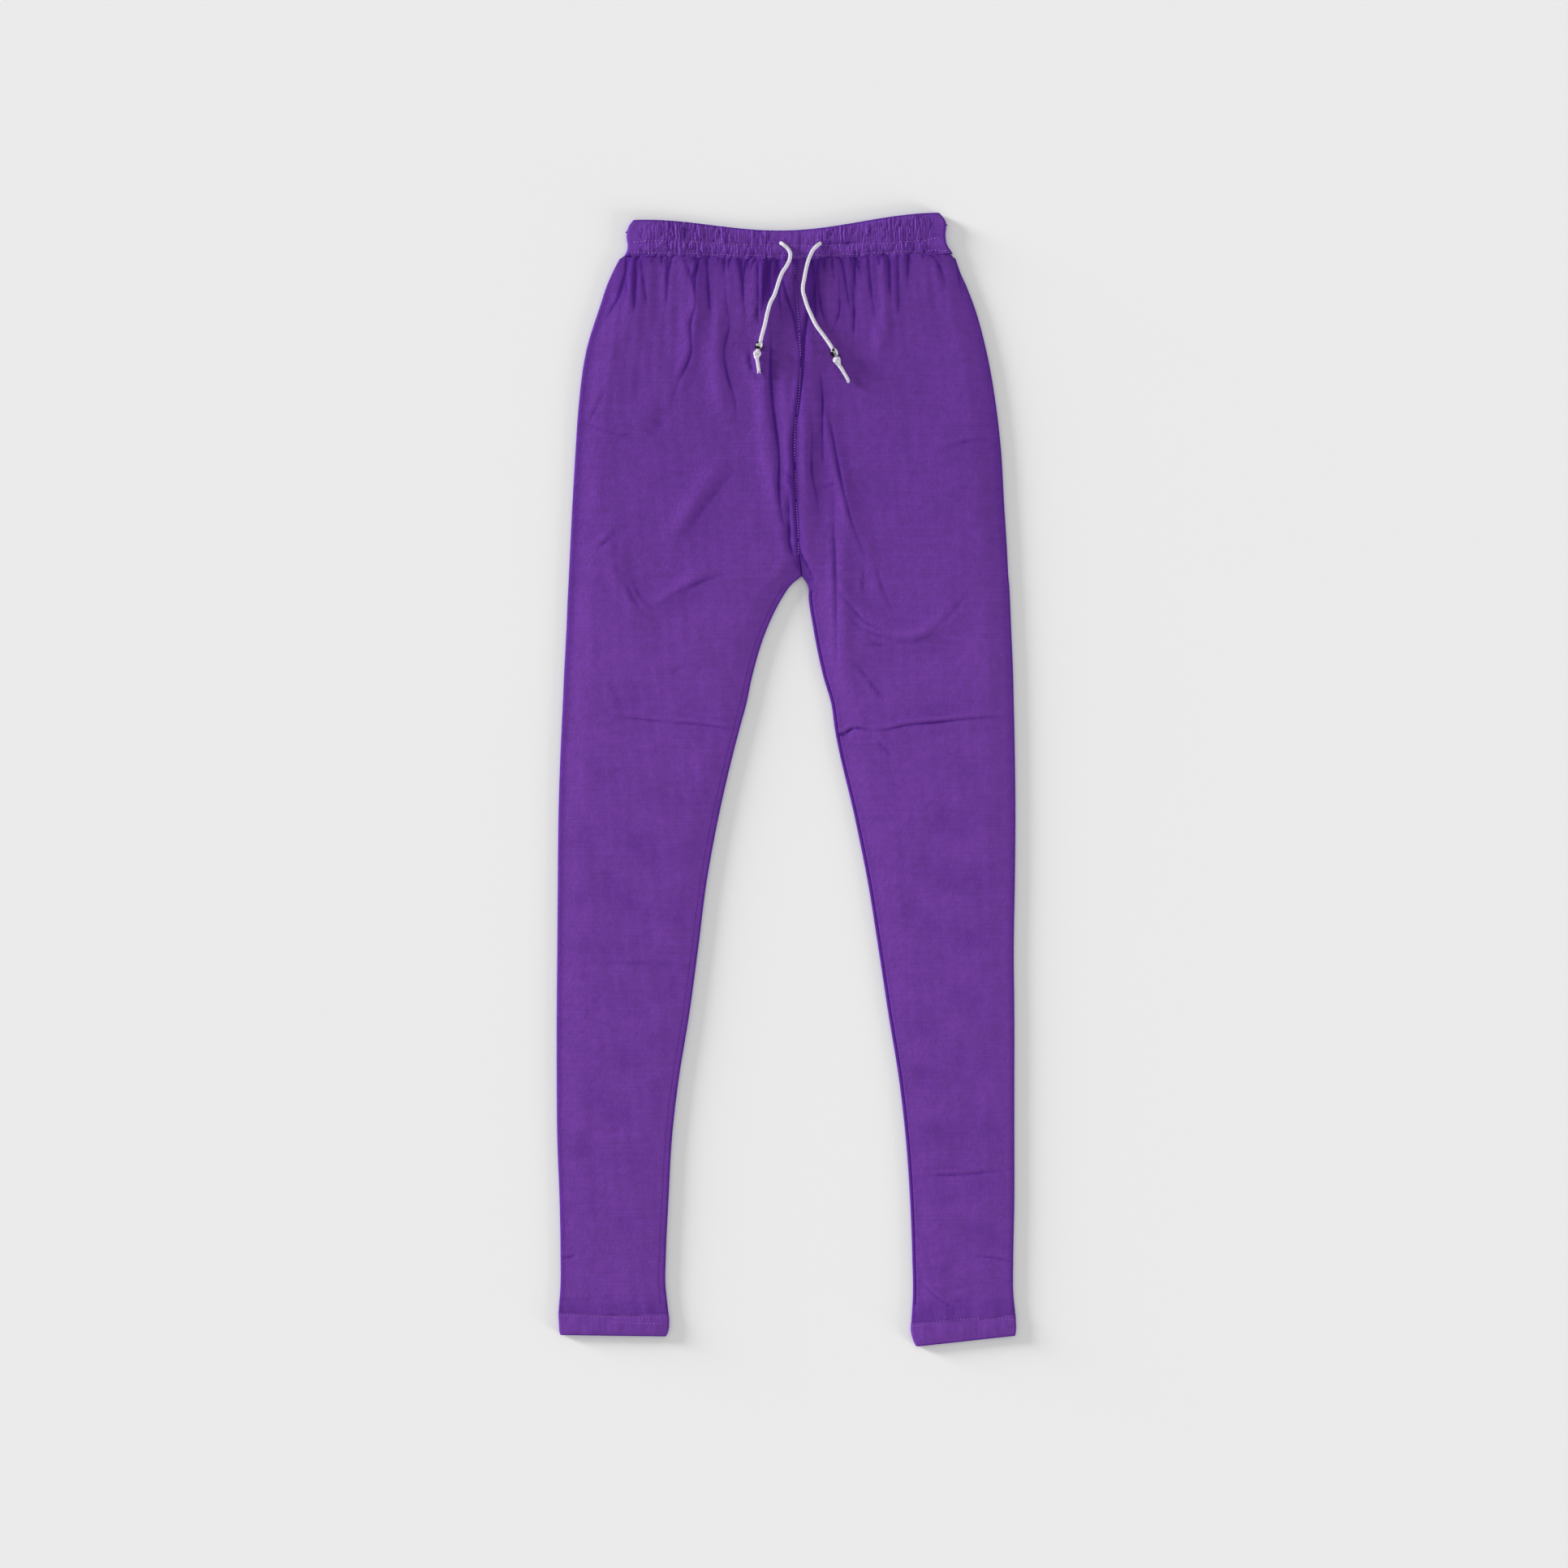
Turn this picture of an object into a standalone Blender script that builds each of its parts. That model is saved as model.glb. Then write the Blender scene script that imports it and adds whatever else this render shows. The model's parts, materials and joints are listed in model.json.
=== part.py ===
"""Churidar pants lying flat: two knit legs, a gathered elastic waistband, turned hems and a drawstring.

The tables are in millimetres, seen from above: +X to the right, +Y towards the waist, +Z up.
The wearer's right leg lies on the left. The back lies on the ground plane and the front lies on the back.
"""

import math
from collections import namedtuple

import bmesh
import bpy
import numpy as np

MM = 0.001
OBJECT_NAME = "churidar_pants"

CLOTH_WALL = 1.4
CLOTH_HEIGHT = 3.4
SEAM_GAP = 0.3
HIP_PUFF = 1.8
ANKLE_PUFF = 0.6
PUFF_EDGE = 18.0
PUFF_ANKLE_Y = -300.0
PUFF_HIP_Y = 300.0
CROTCH_BLEND = 30.0
SHOULDER_ROUND = 8.0
TOP_LINE_BLEND = 40.0

BAND_WALL = 1.8
BAND_HEIGHT = 5.0
BAND_GATHERS = 92
POINTS_PER_GATHER = 3
GATHER_DEPTH = 0.9
GATHER_SHAPE = (0.0, 1.0, 0.5)
GATHER_MEAN = 0.55
GATHER_ENDS = 8.0

LEG_GATHERS = 30
LEG_GATHER_DEPTH = 1.0
LEG_GATHER_FADE = 42.0
LEG_GATHER_LEAN = 0.25

HEM_WALL = 1.5
HEM_HEIGHT = 3.8

FOLD_SAMPLES = 41
FOLD_END_TAPER = 0.04
FOLD_TAPER_POWER = 0.6

FOLD_STEPS = 4
EDGE_STEPS = 2
BACK_STEPS = 4

CORD_DIAMETER = 3.4
TAIL_DIAMETER = 3.0
BEAD_DIAMETER = 7.4
BEAD_LENGTH = 6.6
BEAD_BORE = 4.3
BEAD_SIDES = 10
BEAD_BELT = 0.31

Section = namedtuple("Section", "outer_x outer_y inner_x inner_y")
Zone = namedtuple("Zone", "last_section rows front_steps")
Fold = namedtuple("Fold", "x0 y0 x1 y1 x2 y2 width rise")
BandRow = namedtuple("BandRow", "left_x left_y right_x right_y sag lift gather")
Waver = namedtuple("Waver", "size length shift")
Knot = namedtuple("Knot", "x y z turn")
RoutePoint = namedtuple("RoutePoint", "x y z")
Colour = namedtuple("Colour", "red green blue")

PURPLE = Colour(0.136, 0.040, 0.292)
CORD_WHITE = Colour(0.74, 0.71, 0.77)
BEAD_METAL = Colour(0.62, 0.62, 0.64)

# The centre seam, from the waistband down to the crotch, is the inner edge of both legs.
CENTRE_SEAM = (
    (9.5, 467.5),
    (8.0, 459.5),
    (8.0, 445.5),
    (9.0, 428.0),
    (13.0, 390.0),
    (9.5, 333.5),
    (8.0, 297.0),
    (9.0, 245.5),
    (11.5, 205.5),
    (14.0, 183.5),
)
CROTCH_SECTION = len(CENTRE_SEAM) - 1

RIGHT_OUTER_HIP = (
    (-150.5, 469.0),
    (-155.0, 460.5),
    (-161.5, 446.0),
    (-167.5, 428.0),
    (-179.5, 390.0),
    (-187.5, 333.5),
    (-190.0, 297.0),
    (-193.0, 245.5),
    (-195.0, 205.5),
    (-196.0, 184.5),
)
LEFT_OUTER_HIP = (
    (152.5, 469.5),
    (156.5, 458.0),
    (162.0, 445.5),
    (169.0, 427.5),
    (179.5, 390.0),
    (189.5, 333.5),
    (193.5, 297.0),
    (196.5, 245.5),
    (199.0, 205.5),
    (200.0, 184.5),
)

RIGHT_LEG = tuple(Section(*outer, *inner) for outer, inner in zip(RIGHT_OUTER_HIP, CENTRE_SEAM)) + (
    Section(-196.5, 174.5, 3.5, 174.5),
    Section(-197.0, 165.0, -3.0, 165.0),
    Section(-198.0, 140.5, -15.5, 140.5),
    Section(-200.5, 92.0, -31.0, 92.0),
    Section(-201.5, 68.0, -36.0, 68.0),
    Section(-202.5, 48.0, -41.5, 48.0),
    Section(-205.5, -36.0, -61.5, -36.0),
    Section(-206.0, -90.5, -71.5, -90.5),
    Section(-206.5, -153.0, -79.5, -153.0),
    Section(-207.0, -212.0, -87.5, -212.0),
    Section(-207.0, -270.5, -97.0, -270.5),
    Section(-206.5, -323.0, -103.0, -323.0),
    Section(-204.5, -376.0, -106.0, -376.0),
    Section(-203.5, -428.5, -108.5, -428.5),
    Section(-203.5, -453.5, -109.0, -452.5),
    Section(-205.5, -481.0, -106.0, -482.0),
)
LEFT_LEG = tuple(Section(*outer, *inner) for outer, inner in zip(LEFT_OUTER_HIP, CENTRE_SEAM)) + (
    Section(201.0, 174.5, 19.5, 174.5),
    Section(201.5, 165.0, 20.0, 163.5),
    Section(202.5, 140.5, 23.5, 140.5),
    Section(204.5, 92.0, 33.5, 92.0),
    Section(205.0, 68.0, 40.5, 68.0),
    Section(205.5, 48.0, 43.5, 46.5),
    Section(206.5, -36.0, 62.0, -36.0),
    Section(206.0, -90.5, 73.0, -90.5),
    Section(205.0, -153.0, 83.0, -153.0),
    Section(205.5, -212.0, 92.0, -212.0),
    Section(205.5, -270.5, 101.5, -270.5),
    Section(205.5, -323.0, 107.5, -323.0),
    Section(205.5, -380.0, 111.5, -380.0),
    Section(204.5, -434.5, 113.5, -434.5),
    Section(204.5, -460.5, 114.0, -462.0),
    Section(206.5, -482.5, 112.5, -490.0),
)

# Rows of points get fewer down the leg, and so do the points in a row.
LEG_ZONES = (
    Zone(4, 8, 48),
    Zone(CROTCH_SECTION, 10, 24),
    Zone(15, 8, 24),
    Zone(25, 18, 12),
)
INNER_FRONT_STEPS = (24, 24, 24, 12)
INNER_ROW_STEP = 2

HEM_ROWS_RIGHT = (
    Section(-205.5, -481.4, -106.0, -482.4),
    Section(-205.0, -491.5, -105.5, -487.0),
    Section(-204.3, -498.5, -107.0, -499.0),
    Section(-204.0, -499.7, -108.0, -501.0),
)
HEM_ROWS_LEFT = (
    Section(206.6, -482.9, 112.4, -490.4),
    Section(207.0, -488.5, 112.0, -495.0),
    Section(206.8, -498.5, 115.5, -508.0),
    Section(206.5, -500.5, 116.5, -510.0),
)
HEM_LIFTS = (-0.3, 0.1, 0.1, -0.5)
HEM_FRONT_STEPS = 14
HEM_BACK_STEPS = 2

BAND_ROWS = (
    BandRow(-138.5, 503.5, 138.5, 510.0, 13.0, -0.8, 0.35),
    BandRow(-141.5, 499.5, 142.5, 505.0, 12.0, -0.1, 0.8),
    BandRow(-144.0, 489.0, 144.0, 497.0, 9.5, 0.6, 1.0),
    BandRow(-143.0, 481.0, 143.5, 489.5, 7.0, -0.4, 0.6),
    BandRow(-143.5, 477.0, 144.5, 483.0, 5.5, 0.3, 1.0),
    BandRow(-146.0, 471.8, 150.0, 473.8, 4.0, -0.3, 0.6),
)
BAND_BACK_STEPS = 12
BAND_INNER_FRONT_STEPS = 23

# Broad folds that both faces of the front follow.
BROAD_FOLDS = (
    Fold(25.0, 412.0, 16.0, 317.0, 20.0, 198.0, 8.0, 2.2),
    Fold(-3.0, 402.0, -1.0, 327.0, 5.0, 236.0, 7.0, 1.8),
    Fold(-23.0, 394.0, -20.0, 330.0, -8.0, 232.0, 8.0, 1.5),
    Fold(36.0, 330.0, 52.0, 263.0, 74.0, 200.0, 8.0, 1.2),
    Fold(52.0, 270.0, 51.0, 183.0, 51.0, 95.0, 8.0, 1.0),
    Fold(65.0, 158.0, 104.0, 127.0, 150.0, 147.0, 9.0, 1.2),
    Fold(-66.0, 280.0, -84.0, 247.0, -104.0, 218.0, 10.0, 1.1),
    Fold(-160.0, 222.0, -148.0, 178.0, -124.0, 140.0, 9.0, 1.1),
    Fold(-72.0, 186.0, -94.0, 171.0, -116.0, 160.0, 8.0, 0.9),
    Fold(-92.0, 458.0, -82.0, 421.0, -93.0, 360.0, 7.0, 1.2),
    Fold(-60.0, 425.0, -63.0, 372.0, -52.0, 320.0, 7.0, 1.2),
    Fold(84.0, 455.0, 88.0, 420.0, 80.0, 372.0, 7.0, 1.0),
)

# Narrow folds that only the outer face shows.
NARROW_FOLDS = (
    Fold(-156.5, 61.0, -94.5, 53.0, -42.5, 48.0, 6.0, 0.7),
    Fold(53.5, 46.0, 108.5, 53.0, 203.0, 61.0, 6.0, 0.8),
    Fold(30.0, 361.5, 33.0, 314.0, 33.5, 282.5, 5.0, 0.7),
    Fold(-104.0, 340.0, -116.5, 321.0, -131.0, 305.0, 6.0, 0.7),
    Fold(-182.0, 322.0, -160.0, 312.5, -137.0, 308.5, 5.0, 0.5),
    Fold(141.5, 299.0, 162.0, 304.5, 184.5, 306.5, 5.0, 0.5),
    Fold(119.5, 468.0, 132.5, 452.0, 143.5, 435.5, 5.0, 0.8),
    Fold(117.0, -358.0, 162.0, -355.5, 203.0, -351.0, 6.0, 0.5),
    Fold(-128.0, -165.5, -106.0, -167.0, -84.0, -168.0, 6.0, 0.4),
    Fold(122.5, -449.0, 136.0, -462.0, 151.0, -473.0, 5.0, 0.6),
)

# Slow waves along the waist that make the gathers uneven: in place and in length down the leg.
LEG_GATHER_PLACE = (Waver(1.1, 21.0, 0.0), Waver(0.7, 8.3, 1.0))
LEG_GATHER_REACH = Waver(0.45, 13.0, 0.6)
# The same for the depth of the band's own gathers, counted in gathers.
BAND_GATHER_DEPTHS = (Waver(0.25, 0.53, 0.0), Waver(0.2, 1.6, 1.0))

RIGHT_CORD = (
    RoutePoint(-3.0, 481.5, 8.0),
    RoutePoint(1.0, 478.0, 8.1),
    RoutePoint(3.5, 473.5, 8.1),
    RoutePoint(3.0, 468.0, 8.1),
    RoutePoint(0.5, 462.5, 8.1),
    RoutePoint(-4.0, 455.5, 8.0),
    RoutePoint(-6.5, 449.0, 8.1),
    RoutePoint(-9.0, 441.0, 8.0),
    RoutePoint(-11.0, 435.5, 7.9),
    RoutePoint(-14.0, 430.0, 7.7),
    RoutePoint(-17.0, 420.0, 7.6),
    RoutePoint(-19.5, 408.5, 7.8),
    RoutePoint(-22.0, 399.5, 8.6),
    RoutePoint(-23.0, 395.0, 9.2),
    RoutePoint(-24.5, 390.0, 9.6),
    RoutePoint(-25.5, 386.6, 9.6),
)
LEFT_CORD = (
    RoutePoint(28.5, 481.0, 8.0),
    RoutePoint(24.5, 477.0, 8.1),
    RoutePoint(21.5, 471.5, 8.1),
    RoutePoint(19.0, 464.5, 8.1),
    RoutePoint(17.5, 458.0, 8.1),
    RoutePoint(16.0, 450.0, 7.9),
    RoutePoint(15.0, 444.5, 7.8),
    RoutePoint(15.0, 439.0, 7.8),
    RoutePoint(16.5, 433.5, 7.8),
    RoutePoint(19.0, 425.5, 8.0),
    RoutePoint(22.5, 417.5, 8.1),
    RoutePoint(27.0, 408.5, 8.2),
    RoutePoint(32.5, 401.0, 8.1),
    RoutePoint(37.5, 394.0, 8.3),
    RoutePoint(41.0, 388.5, 8.9),
    RoutePoint(43.2, 384.0, 9.1),
    RoutePoint(44.3, 380.8, 9.1),
)
RIGHT_TAIL = (
    RoutePoint(-26.3, 378.3, 8.9),
    RoutePoint(-25.8, 375.0, 8.5),
    RoutePoint(-25.2, 371.0, 8.2),
    RoutePoint(-24.5, 367.0, 8.2),
)
LEFT_TAIL = (
    RoutePoint(47.4, 373.0, 8.1),
    RoutePoint(49.8, 369.5, 7.6),
    RoutePoint(53.0, 364.2, 7.3),
    RoutePoint(56.0, 359.0, 7.3),
)
CORD_POINT_SPACING = 8.0
KNOT_SIZE = (6.2, 7.4, 5.6)
KNOT_SEGMENTS = 12
KNOT_RINGS = 8
RIGHT_KNOT = Knot(-26.4, 382.4, 9.2, 10.0)
LEFT_KNOT = Knot(45.6, 376.8, 8.5, -25.0)
# The route point that each bead is threaded on.
RIGHT_BEAD_POINT = 14
LEFT_BEAD_POINT = 15


def clear_scene():
    for item in list(bpy.data.objects):
        bpy.data.objects.remove(item, do_unlink=True)


def make_material(name, colour, roughness, metallic=0.0):
    material = bpy.data.materials.new(name)
    material.use_nodes = True
    shader = material.node_tree.nodes["Principled BSDF"]
    shader.inputs["Base Color"].default_value = (*colour, 1.0)
    shader.inputs["Roughness"].default_value = roughness
    shader.inputs["Metallic"].default_value = metallic
    return material


def ease(value):
    """0 below 0, 1 above 1, and a smooth S between."""
    t = np.clip(value, 0.0, 1.0)
    return t * t * (3.0 - 2.0 * t)


def curve_through(stations, values, at):
    """Cubic curve through the values, each slope being that between its two neighbours."""
    slopes = np.gradient(values, stations, axis=0)
    low = np.clip(np.searchsorted(stations, at, side="right") - 1, 0, len(stations) - 2)
    step = (stations[low + 1] - stations[low])[:, None]
    t = (at - stations[low])[:, None] / step
    start = values[low] * (1.0 + 2.0 * t) * (1.0 - t) ** 2
    end = values[low + 1] * t * t * (3.0 - 2.0 * t)
    bend = step * t * (1.0 - t) * (slopes[low] * (1.0 - t) - slopes[low + 1] * t)
    return start + end + bend


def run_length(points):
    """Distance along a line of points, from its first."""
    steps = np.linalg.norm(np.diff(points, axis=0), axis=1)
    return np.concatenate(([0.0], np.cumsum(steps)))


def fold_height(x, y, fold):
    """A soft ridge along a bent line through three points, tapering to nothing at its ends."""
    along = np.linspace(0.0, 1.0, FOLD_SAMPLES)
    line_x = bent_line(along, fold.x0, fold.x1, fold.x2)
    line_y = bent_line(along, fold.y0, fold.y1, fold.y2)
    apart = np.hypot(x[..., None] - line_x, y[..., None] - line_y)
    nearest = along[apart.argmin(axis=-1)]
    share = FOLD_END_TAPER + (1.0 - 2.0 * FOLD_END_TAPER) * nearest
    taper = np.sin(math.pi * share) ** FOLD_TAPER_POWER
    return fold.rise * taper * np.exp(-((apart.min(axis=-1) / fold.width) ** 2))


def bent_line(along, start, middle, end):
    """One coordinate of the quadratic curve that passes through its middle point half way."""
    control = 2.0 * middle - 0.5 * (start + end)
    return (1.0 - along) ** 2 * start + 2.0 * along * (1.0 - along) * control + along**2 * end


def wave(place, waver):
    return waver.size * np.sin(place / waver.length + waver.shift)


def broad_height(x, y, from_edge):
    """Height of the front's broad shape above the flat cloth: a low puff and the broad folds."""
    up_the_leg = ease((y - PUFF_ANKLE_Y) / (PUFF_HIP_Y - PUFF_ANKLE_Y))
    puff = ANKLE_PUFF + (HIP_PUFF - ANKLE_PUFF) * up_the_leg
    height = puff * ease(from_edge / PUFF_EDGE)
    for fold in BROAD_FOLDS:
        height = height + fold_height(x, y, fold) * ease(from_edge / PUFF_EDGE)
    return height


def narrow_height(x, y, from_edge):
    """Height of the small folds: uneven gathers that run down from the band, and the narrow creases."""
    row = BAND_ROWS[-1]
    depth = band_bottom(x) - y
    turn = 2.0 * math.pi * LEG_GATHERS * (x - row.left_x) / (row.right_x - row.left_x)
    uneven = sum(wave(x, waver) for waver in LEG_GATHER_PLACE) + LEG_GATHER_LEAN * depth / LEG_GATHER_FADE
    reach = LEG_GATHER_FADE * (1.0 + wave(x, LEG_GATHER_REACH))
    height = 0.5 * LEG_GATHER_DEPTH * (1.0 + np.cos(turn + uneven)) * np.exp(-((depth / reach) ** 2))
    for fold in NARROW_FOLDS:
        height = height + fold_height(x, y, fold)
    return height * ease(from_edge / PUFF_EDGE)


def band_bottom(x):
    """The waistband's lower edge: its height on the plan at each x."""
    row = BAND_ROWS[-1]
    t = np.clip((x - row.left_x) / (row.right_x - row.left_x), 0.0, 1.0)
    return row.left_y + (row.right_y - row.left_y) * t - row.sag * np.sin(math.pi * t) ** 2


def strip_faces(many, few):
    """Faces between two rows of points. Where one row has more points, they fan out from the other's."""
    ratio = (len(many) - 1) // (len(few) - 1)
    middle = ratio // 2
    faces = []
    for step in range(len(few) - 1):
        upper = many[step * ratio:(step + 1) * ratio + 1]
        if ratio == 1:
            faces.append([upper[0], upper[1], few[step + 1], few[step]])
            continue
        for point in range(ratio):
            anchor = few[step] if point < middle else few[step + 1]
            faces.append([upper[point], upper[point + 1], anchor])
        faces.append([upper[middle], few[step + 1], few[step]])
    return faces


def row_faces(upper, lower):
    """Faces between two rows that are each a list of stretches."""
    faces = []
    for many, few in zip(upper, lower):
        faces.extend(strip_faces(many, few))
    return faces


class Cloth:
    """Points and faces of one wall of cloth, filled row by row."""

    def __init__(self):
        self.points = []
        self.faces = []

    def add_row(self, stretches, closed):
        """Adds a row given as stretches that share their end points, and returns the numbers of its points."""
        numbers = []
        last = None
        first = len(self.points)
        for place, stretch in enumerate(stretches):
            fresh = stretch if last is None else stretch[1:]
            end = closed and place == len(stretches) - 1
            kept = fresh[:-1] if end else fresh
            start = len(self.points)
            self.points.extend(tuple(point) for point in kept)
            row = list(range(start, len(self.points)))
            if last is not None:
                row.insert(0, last)
            if end:
                row.append(first)
            numbers.append(row)
            last = row[-1]
        return numbers

    def join_rows(self, rows):
        for upper, lower in zip(rows, rows[1:]):
            self.faces.extend(row_faces(upper, lower))

    def make(self, name, material, collection):
        mesh = bpy.data.meshes.new(name)
        mesh.from_pydata([(x * MM, y * MM, z * MM) for x, y, z in self.points], [], self.faces)
        shape = bmesh.new()
        shape.from_mesh(mesh)
        bmesh.ops.recalc_face_normals(shape, faces=shape.faces)
        shape.to_mesh(mesh)
        shape.free()
        mesh.materials.append(material)
        item = bpy.data.objects.new(name, mesh)
        collection.objects.link(item)
        return item


def leg_lines(sections):
    """The outer and inner ends of every row, for the rows above the crotch and for those below it."""
    table = np.array(sections, dtype=float)
    stations = run_length(table[:, 2:])
    upper_part = slice(0, CROTCH_SECTION + 1)
    lower_part = slice(CROTCH_SECTION, len(sections))
    lines = []
    zones = []
    first = 0
    for number, zone in enumerate(LEG_ZONES):
        at = np.linspace(stations[first], stations[zone.last_section], zone.rows + 1)
        part = upper_part if zone.last_section <= CROTCH_SECTION else lower_part
        ends = curve_through(stations[part], table[part], at)
        skip = 0 if number == 0 else 1
        lines.extend(ends[skip:])
        zones.extend([number] * (len(ends) - skip))
        first = zone.last_section
    return np.array(lines), zones


def leg_row(line, side, inset, front_steps, open_share, top_share, closed):
    """One row of a leg's outer face (inset 0) or of its inner face (inset one wall), as five stretches.

    The row starts at the inner edge, crosses the front, turns round the outer fold and comes back below.
    """
    outer = np.array(line[:2])
    inner = np.array(line[2:])
    inner[0] += side * 0.5 * SEAM_GAP
    along = (outer - inner) / np.linalg.norm(outer - inner)
    radius = 0.5 * CLOTH_HEIGHT
    small = radius - inset
    turn = np.linspace(0.5 * math.pi, -0.5 * math.pi, FOLD_STEPS + 1)
    rise = np.linspace(0.0, 0.5 * math.pi, EDGE_STEPS + 1)
    front_start = inner + along * radius
    front_end = outer - along * radius
    share = np.linspace(0.0, 1.0, front_steps + 1)[:, None]
    front = front_start + (front_end - front_start) * share
    back = front[:: -(front_steps // BACK_STEPS)]
    edge = inner + along * radius * np.linspace(0.0, 1.0, EDGE_STEPS + 1)[:, None]
    if closed:
        edge = front_start - along * small * np.cos(rise)[:, None]
        edge_top = radius + small * np.sin(rise)
        edge_bottom = radius - small * np.sin(rise)
    else:
        edge_top = front_height(edge, outer, inner, inset, open_share)
        edge_bottom = np.full(EDGE_STEPS + 1, inset)
    front_top = front_height(front, outer, inner, inset, open_share)
    fold = front_end + along * small * np.cos(turn)[:, None]
    fold_top = radius + small * np.sin(turn)
    stretches = (
        (edge, edge_top),
        (front, front_top),
        (fold, fold_top),
        (back, np.full(len(back), inset)),
        (edge[::-1], edge_bottom[::-1]),
    )
    return [np.column_stack((shift_top(plan, outer, top_share), height)) for plan, height in stretches]


def shift_top(plan, outer, share):
    """Bends the rows near the waist to follow the waistband's lower edge."""
    if share == 0.0:
        return plan
    from_end = np.hypot(plan[:, 0] - outer[0], plan[:, 1] - outer[1])
    moved = plan.copy()
    to_band = band_bottom(plan[:, 0]) - SEAM_GAP - plan[:, 1]
    moved[:, 1] += to_band * share * ease(from_end / SHOULDER_ROUND)
    return moved


def front_height(plan, outer, inner, inset, open_share):
    """Height of the front at points of one row. The inner face keeps below the outer face's broad shape."""
    x = plan[:, 0]
    y = plan[:, 1]
    from_outer = np.hypot(x - outer[0], y - outer[1])
    from_inner = np.hypot(x - inner[0], y - inner[1])
    from_edge = np.minimum(from_outer, from_inner + open_share * PUFF_EDGE)
    height = CLOTH_HEIGHT - inset + broad_height(x, y, from_edge)
    if inset == 0.0:
        height = height + narrow_height(x, y, from_edge)
    return height


def make_leg(name, sections, side, material, collection):
    """A leg panel wrapped round: an open C above the crotch and a closed tube below it."""
    lines, zones = leg_lines(sections)
    crotch_row = sum(zone.rows for zone in LEG_ZONES if zone.last_section <= CROTCH_SECTION)
    crotch_y = CENTRE_SEAM[-1][1]
    cloth = Cloth()
    faces_of = {"outer": [], "inner": []}
    for number, (line, zone) in enumerate(zip(lines, zones)):
        closed = number >= crotch_row
        open_share = 0.0 if closed else float(ease((line[3] - crotch_y) / CROTCH_BLEND))
        top_share = 1.0 - float(ease((lines[0][3] - line[3]) / TOP_LINE_BLEND))
        steps = LEG_ZONES[zone].front_steps
        row = leg_row(line, side, 0.0, steps, open_share, top_share, closed)
        faces_of["outer"].append(cloth.add_row(row, closed))
        if number % INNER_ROW_STEP == 0:
            steps = INNER_FRONT_STEPS[zone]
            row = leg_row(line, side, CLOTH_WALL, steps, open_share, top_share, closed)
            faces_of["inner"].append(cloth.add_row(row, closed))
    outer_rows = faces_of["outer"]
    inner_rows = faces_of["inner"]
    cloth.join_rows(outer_rows)
    cloth.join_rows(inner_rows)
    cloth.faces.extend(row_faces(outer_rows[0], inner_rows[0]))
    cloth.faces.extend(row_faces(outer_rows[-1], inner_rows[-1]))
    inner_crotch = crotch_row // INNER_ROW_STEP
    for pick in (first_point, last_point):
        outer_edge = [pick(row) for row in outer_rows[: crotch_row + 1]]
        inner_edge = [pick(row) for row in inner_rows[: inner_crotch + 1]]
        cloth.faces.extend(strip_faces(outer_edge, inner_edge))
    return cloth.make(name, material, collection)


def first_point(row):
    return row[0][0]


def last_point(row):
    return row[-1][-1]


def ring_row(left, right, front, height_on_plan, wall_inset, height, back_steps):
    """One closed row of a flattened ring: front from left to right, right side, back, left side."""
    along = (right - left) / np.linalg.norm(right - left)
    radius = 0.5 * height
    small = radius - wall_inset
    turn = np.linspace(0.5 * math.pi, -0.5 * math.pi, FOLD_STEPS + 1)
    right_centre = right - along * radius
    left_centre = left + along * radius
    right_side = right_centre + along * small * np.cos(turn)[:, None]
    left_side = left_centre - along * small * np.cos(turn)[:, None]
    side_top = radius + small * np.sin(turn)
    share = np.linspace(1.0, 0.0, back_steps + 1)
    back_x = left_centre[0] + (right_centre[0] - left_centre[0]) * share
    back = np.column_stack((back_x, height_on_plan(share)))
    return [
        front,
        np.column_stack((right_side, side_top)),
        np.column_stack((back, np.full(len(back), wall_inset))),
        np.column_stack((left_side[::-1], side_top[::-1])),
    ]


def band_row(row, inset, front_steps, gathered):
    """One row of the waistband, sagging towards the middle, with fine gathers along its front."""
    left = np.array((row.left_x, row.left_y))
    right = np.array((row.right_x, row.right_y))
    radius = 0.5 * BAND_HEIGHT

    def height_on_plan(share):
        return left[1] + (right[1] - left[1]) * share - row.sag * np.sin(math.pi * share) ** 2

    share = np.linspace(0.0, 1.0, front_steps + 1)
    front_x = left[0] + radius + (right[0] - left[0] - 2.0 * radius) * share
    top = np.full(front_steps + 1, BAND_HEIGHT - inset)
    if gathered:
        lift = row.lift + row.gather * gather_height(front_steps)
        top = top + lift * ease(GATHER_ENDS * np.minimum(share, 1.0 - share))
    front = np.column_stack((front_x, height_on_plan(share), top))
    return ring_row(left, right, front, height_on_plan, inset, BAND_HEIGHT, BAND_BACK_STEPS)


def gather_height(front_steps):
    """Heights of the band's gathers: a sharp rise and a slower fall, each gather of its own depth."""
    step = np.arange(front_steps + 1)
    shape = np.array(GATHER_SHAPE)[step % POINTS_PER_GATHER]
    gather = step // POINTS_PER_GATHER
    uneven = GATHER_MEAN + sum(wave(gather, waver) for waver in BAND_GATHER_DEPTHS)
    return GATHER_DEPTH * shape * uneven


def make_waistband(material, collection):
    cloth = Cloth()
    steps = BAND_GATHERS * POINTS_PER_GATHER
    outer = [cloth.add_row(band_row(row, 0.0, steps, True), True) for row in BAND_ROWS]
    ends = (BAND_ROWS[0], BAND_ROWS[-1])
    inner = [cloth.add_row(band_row(row, BAND_WALL, BAND_INNER_FRONT_STEPS, False), True) for row in ends]
    cloth.join_rows(outer)
    cloth.join_rows(inner)
    cloth.faces.extend(row_faces(outer[0], inner[0]))
    cloth.faces.extend(row_faces(outer[-1], inner[-1]))
    return cloth.make("waistband", material, collection)


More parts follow.
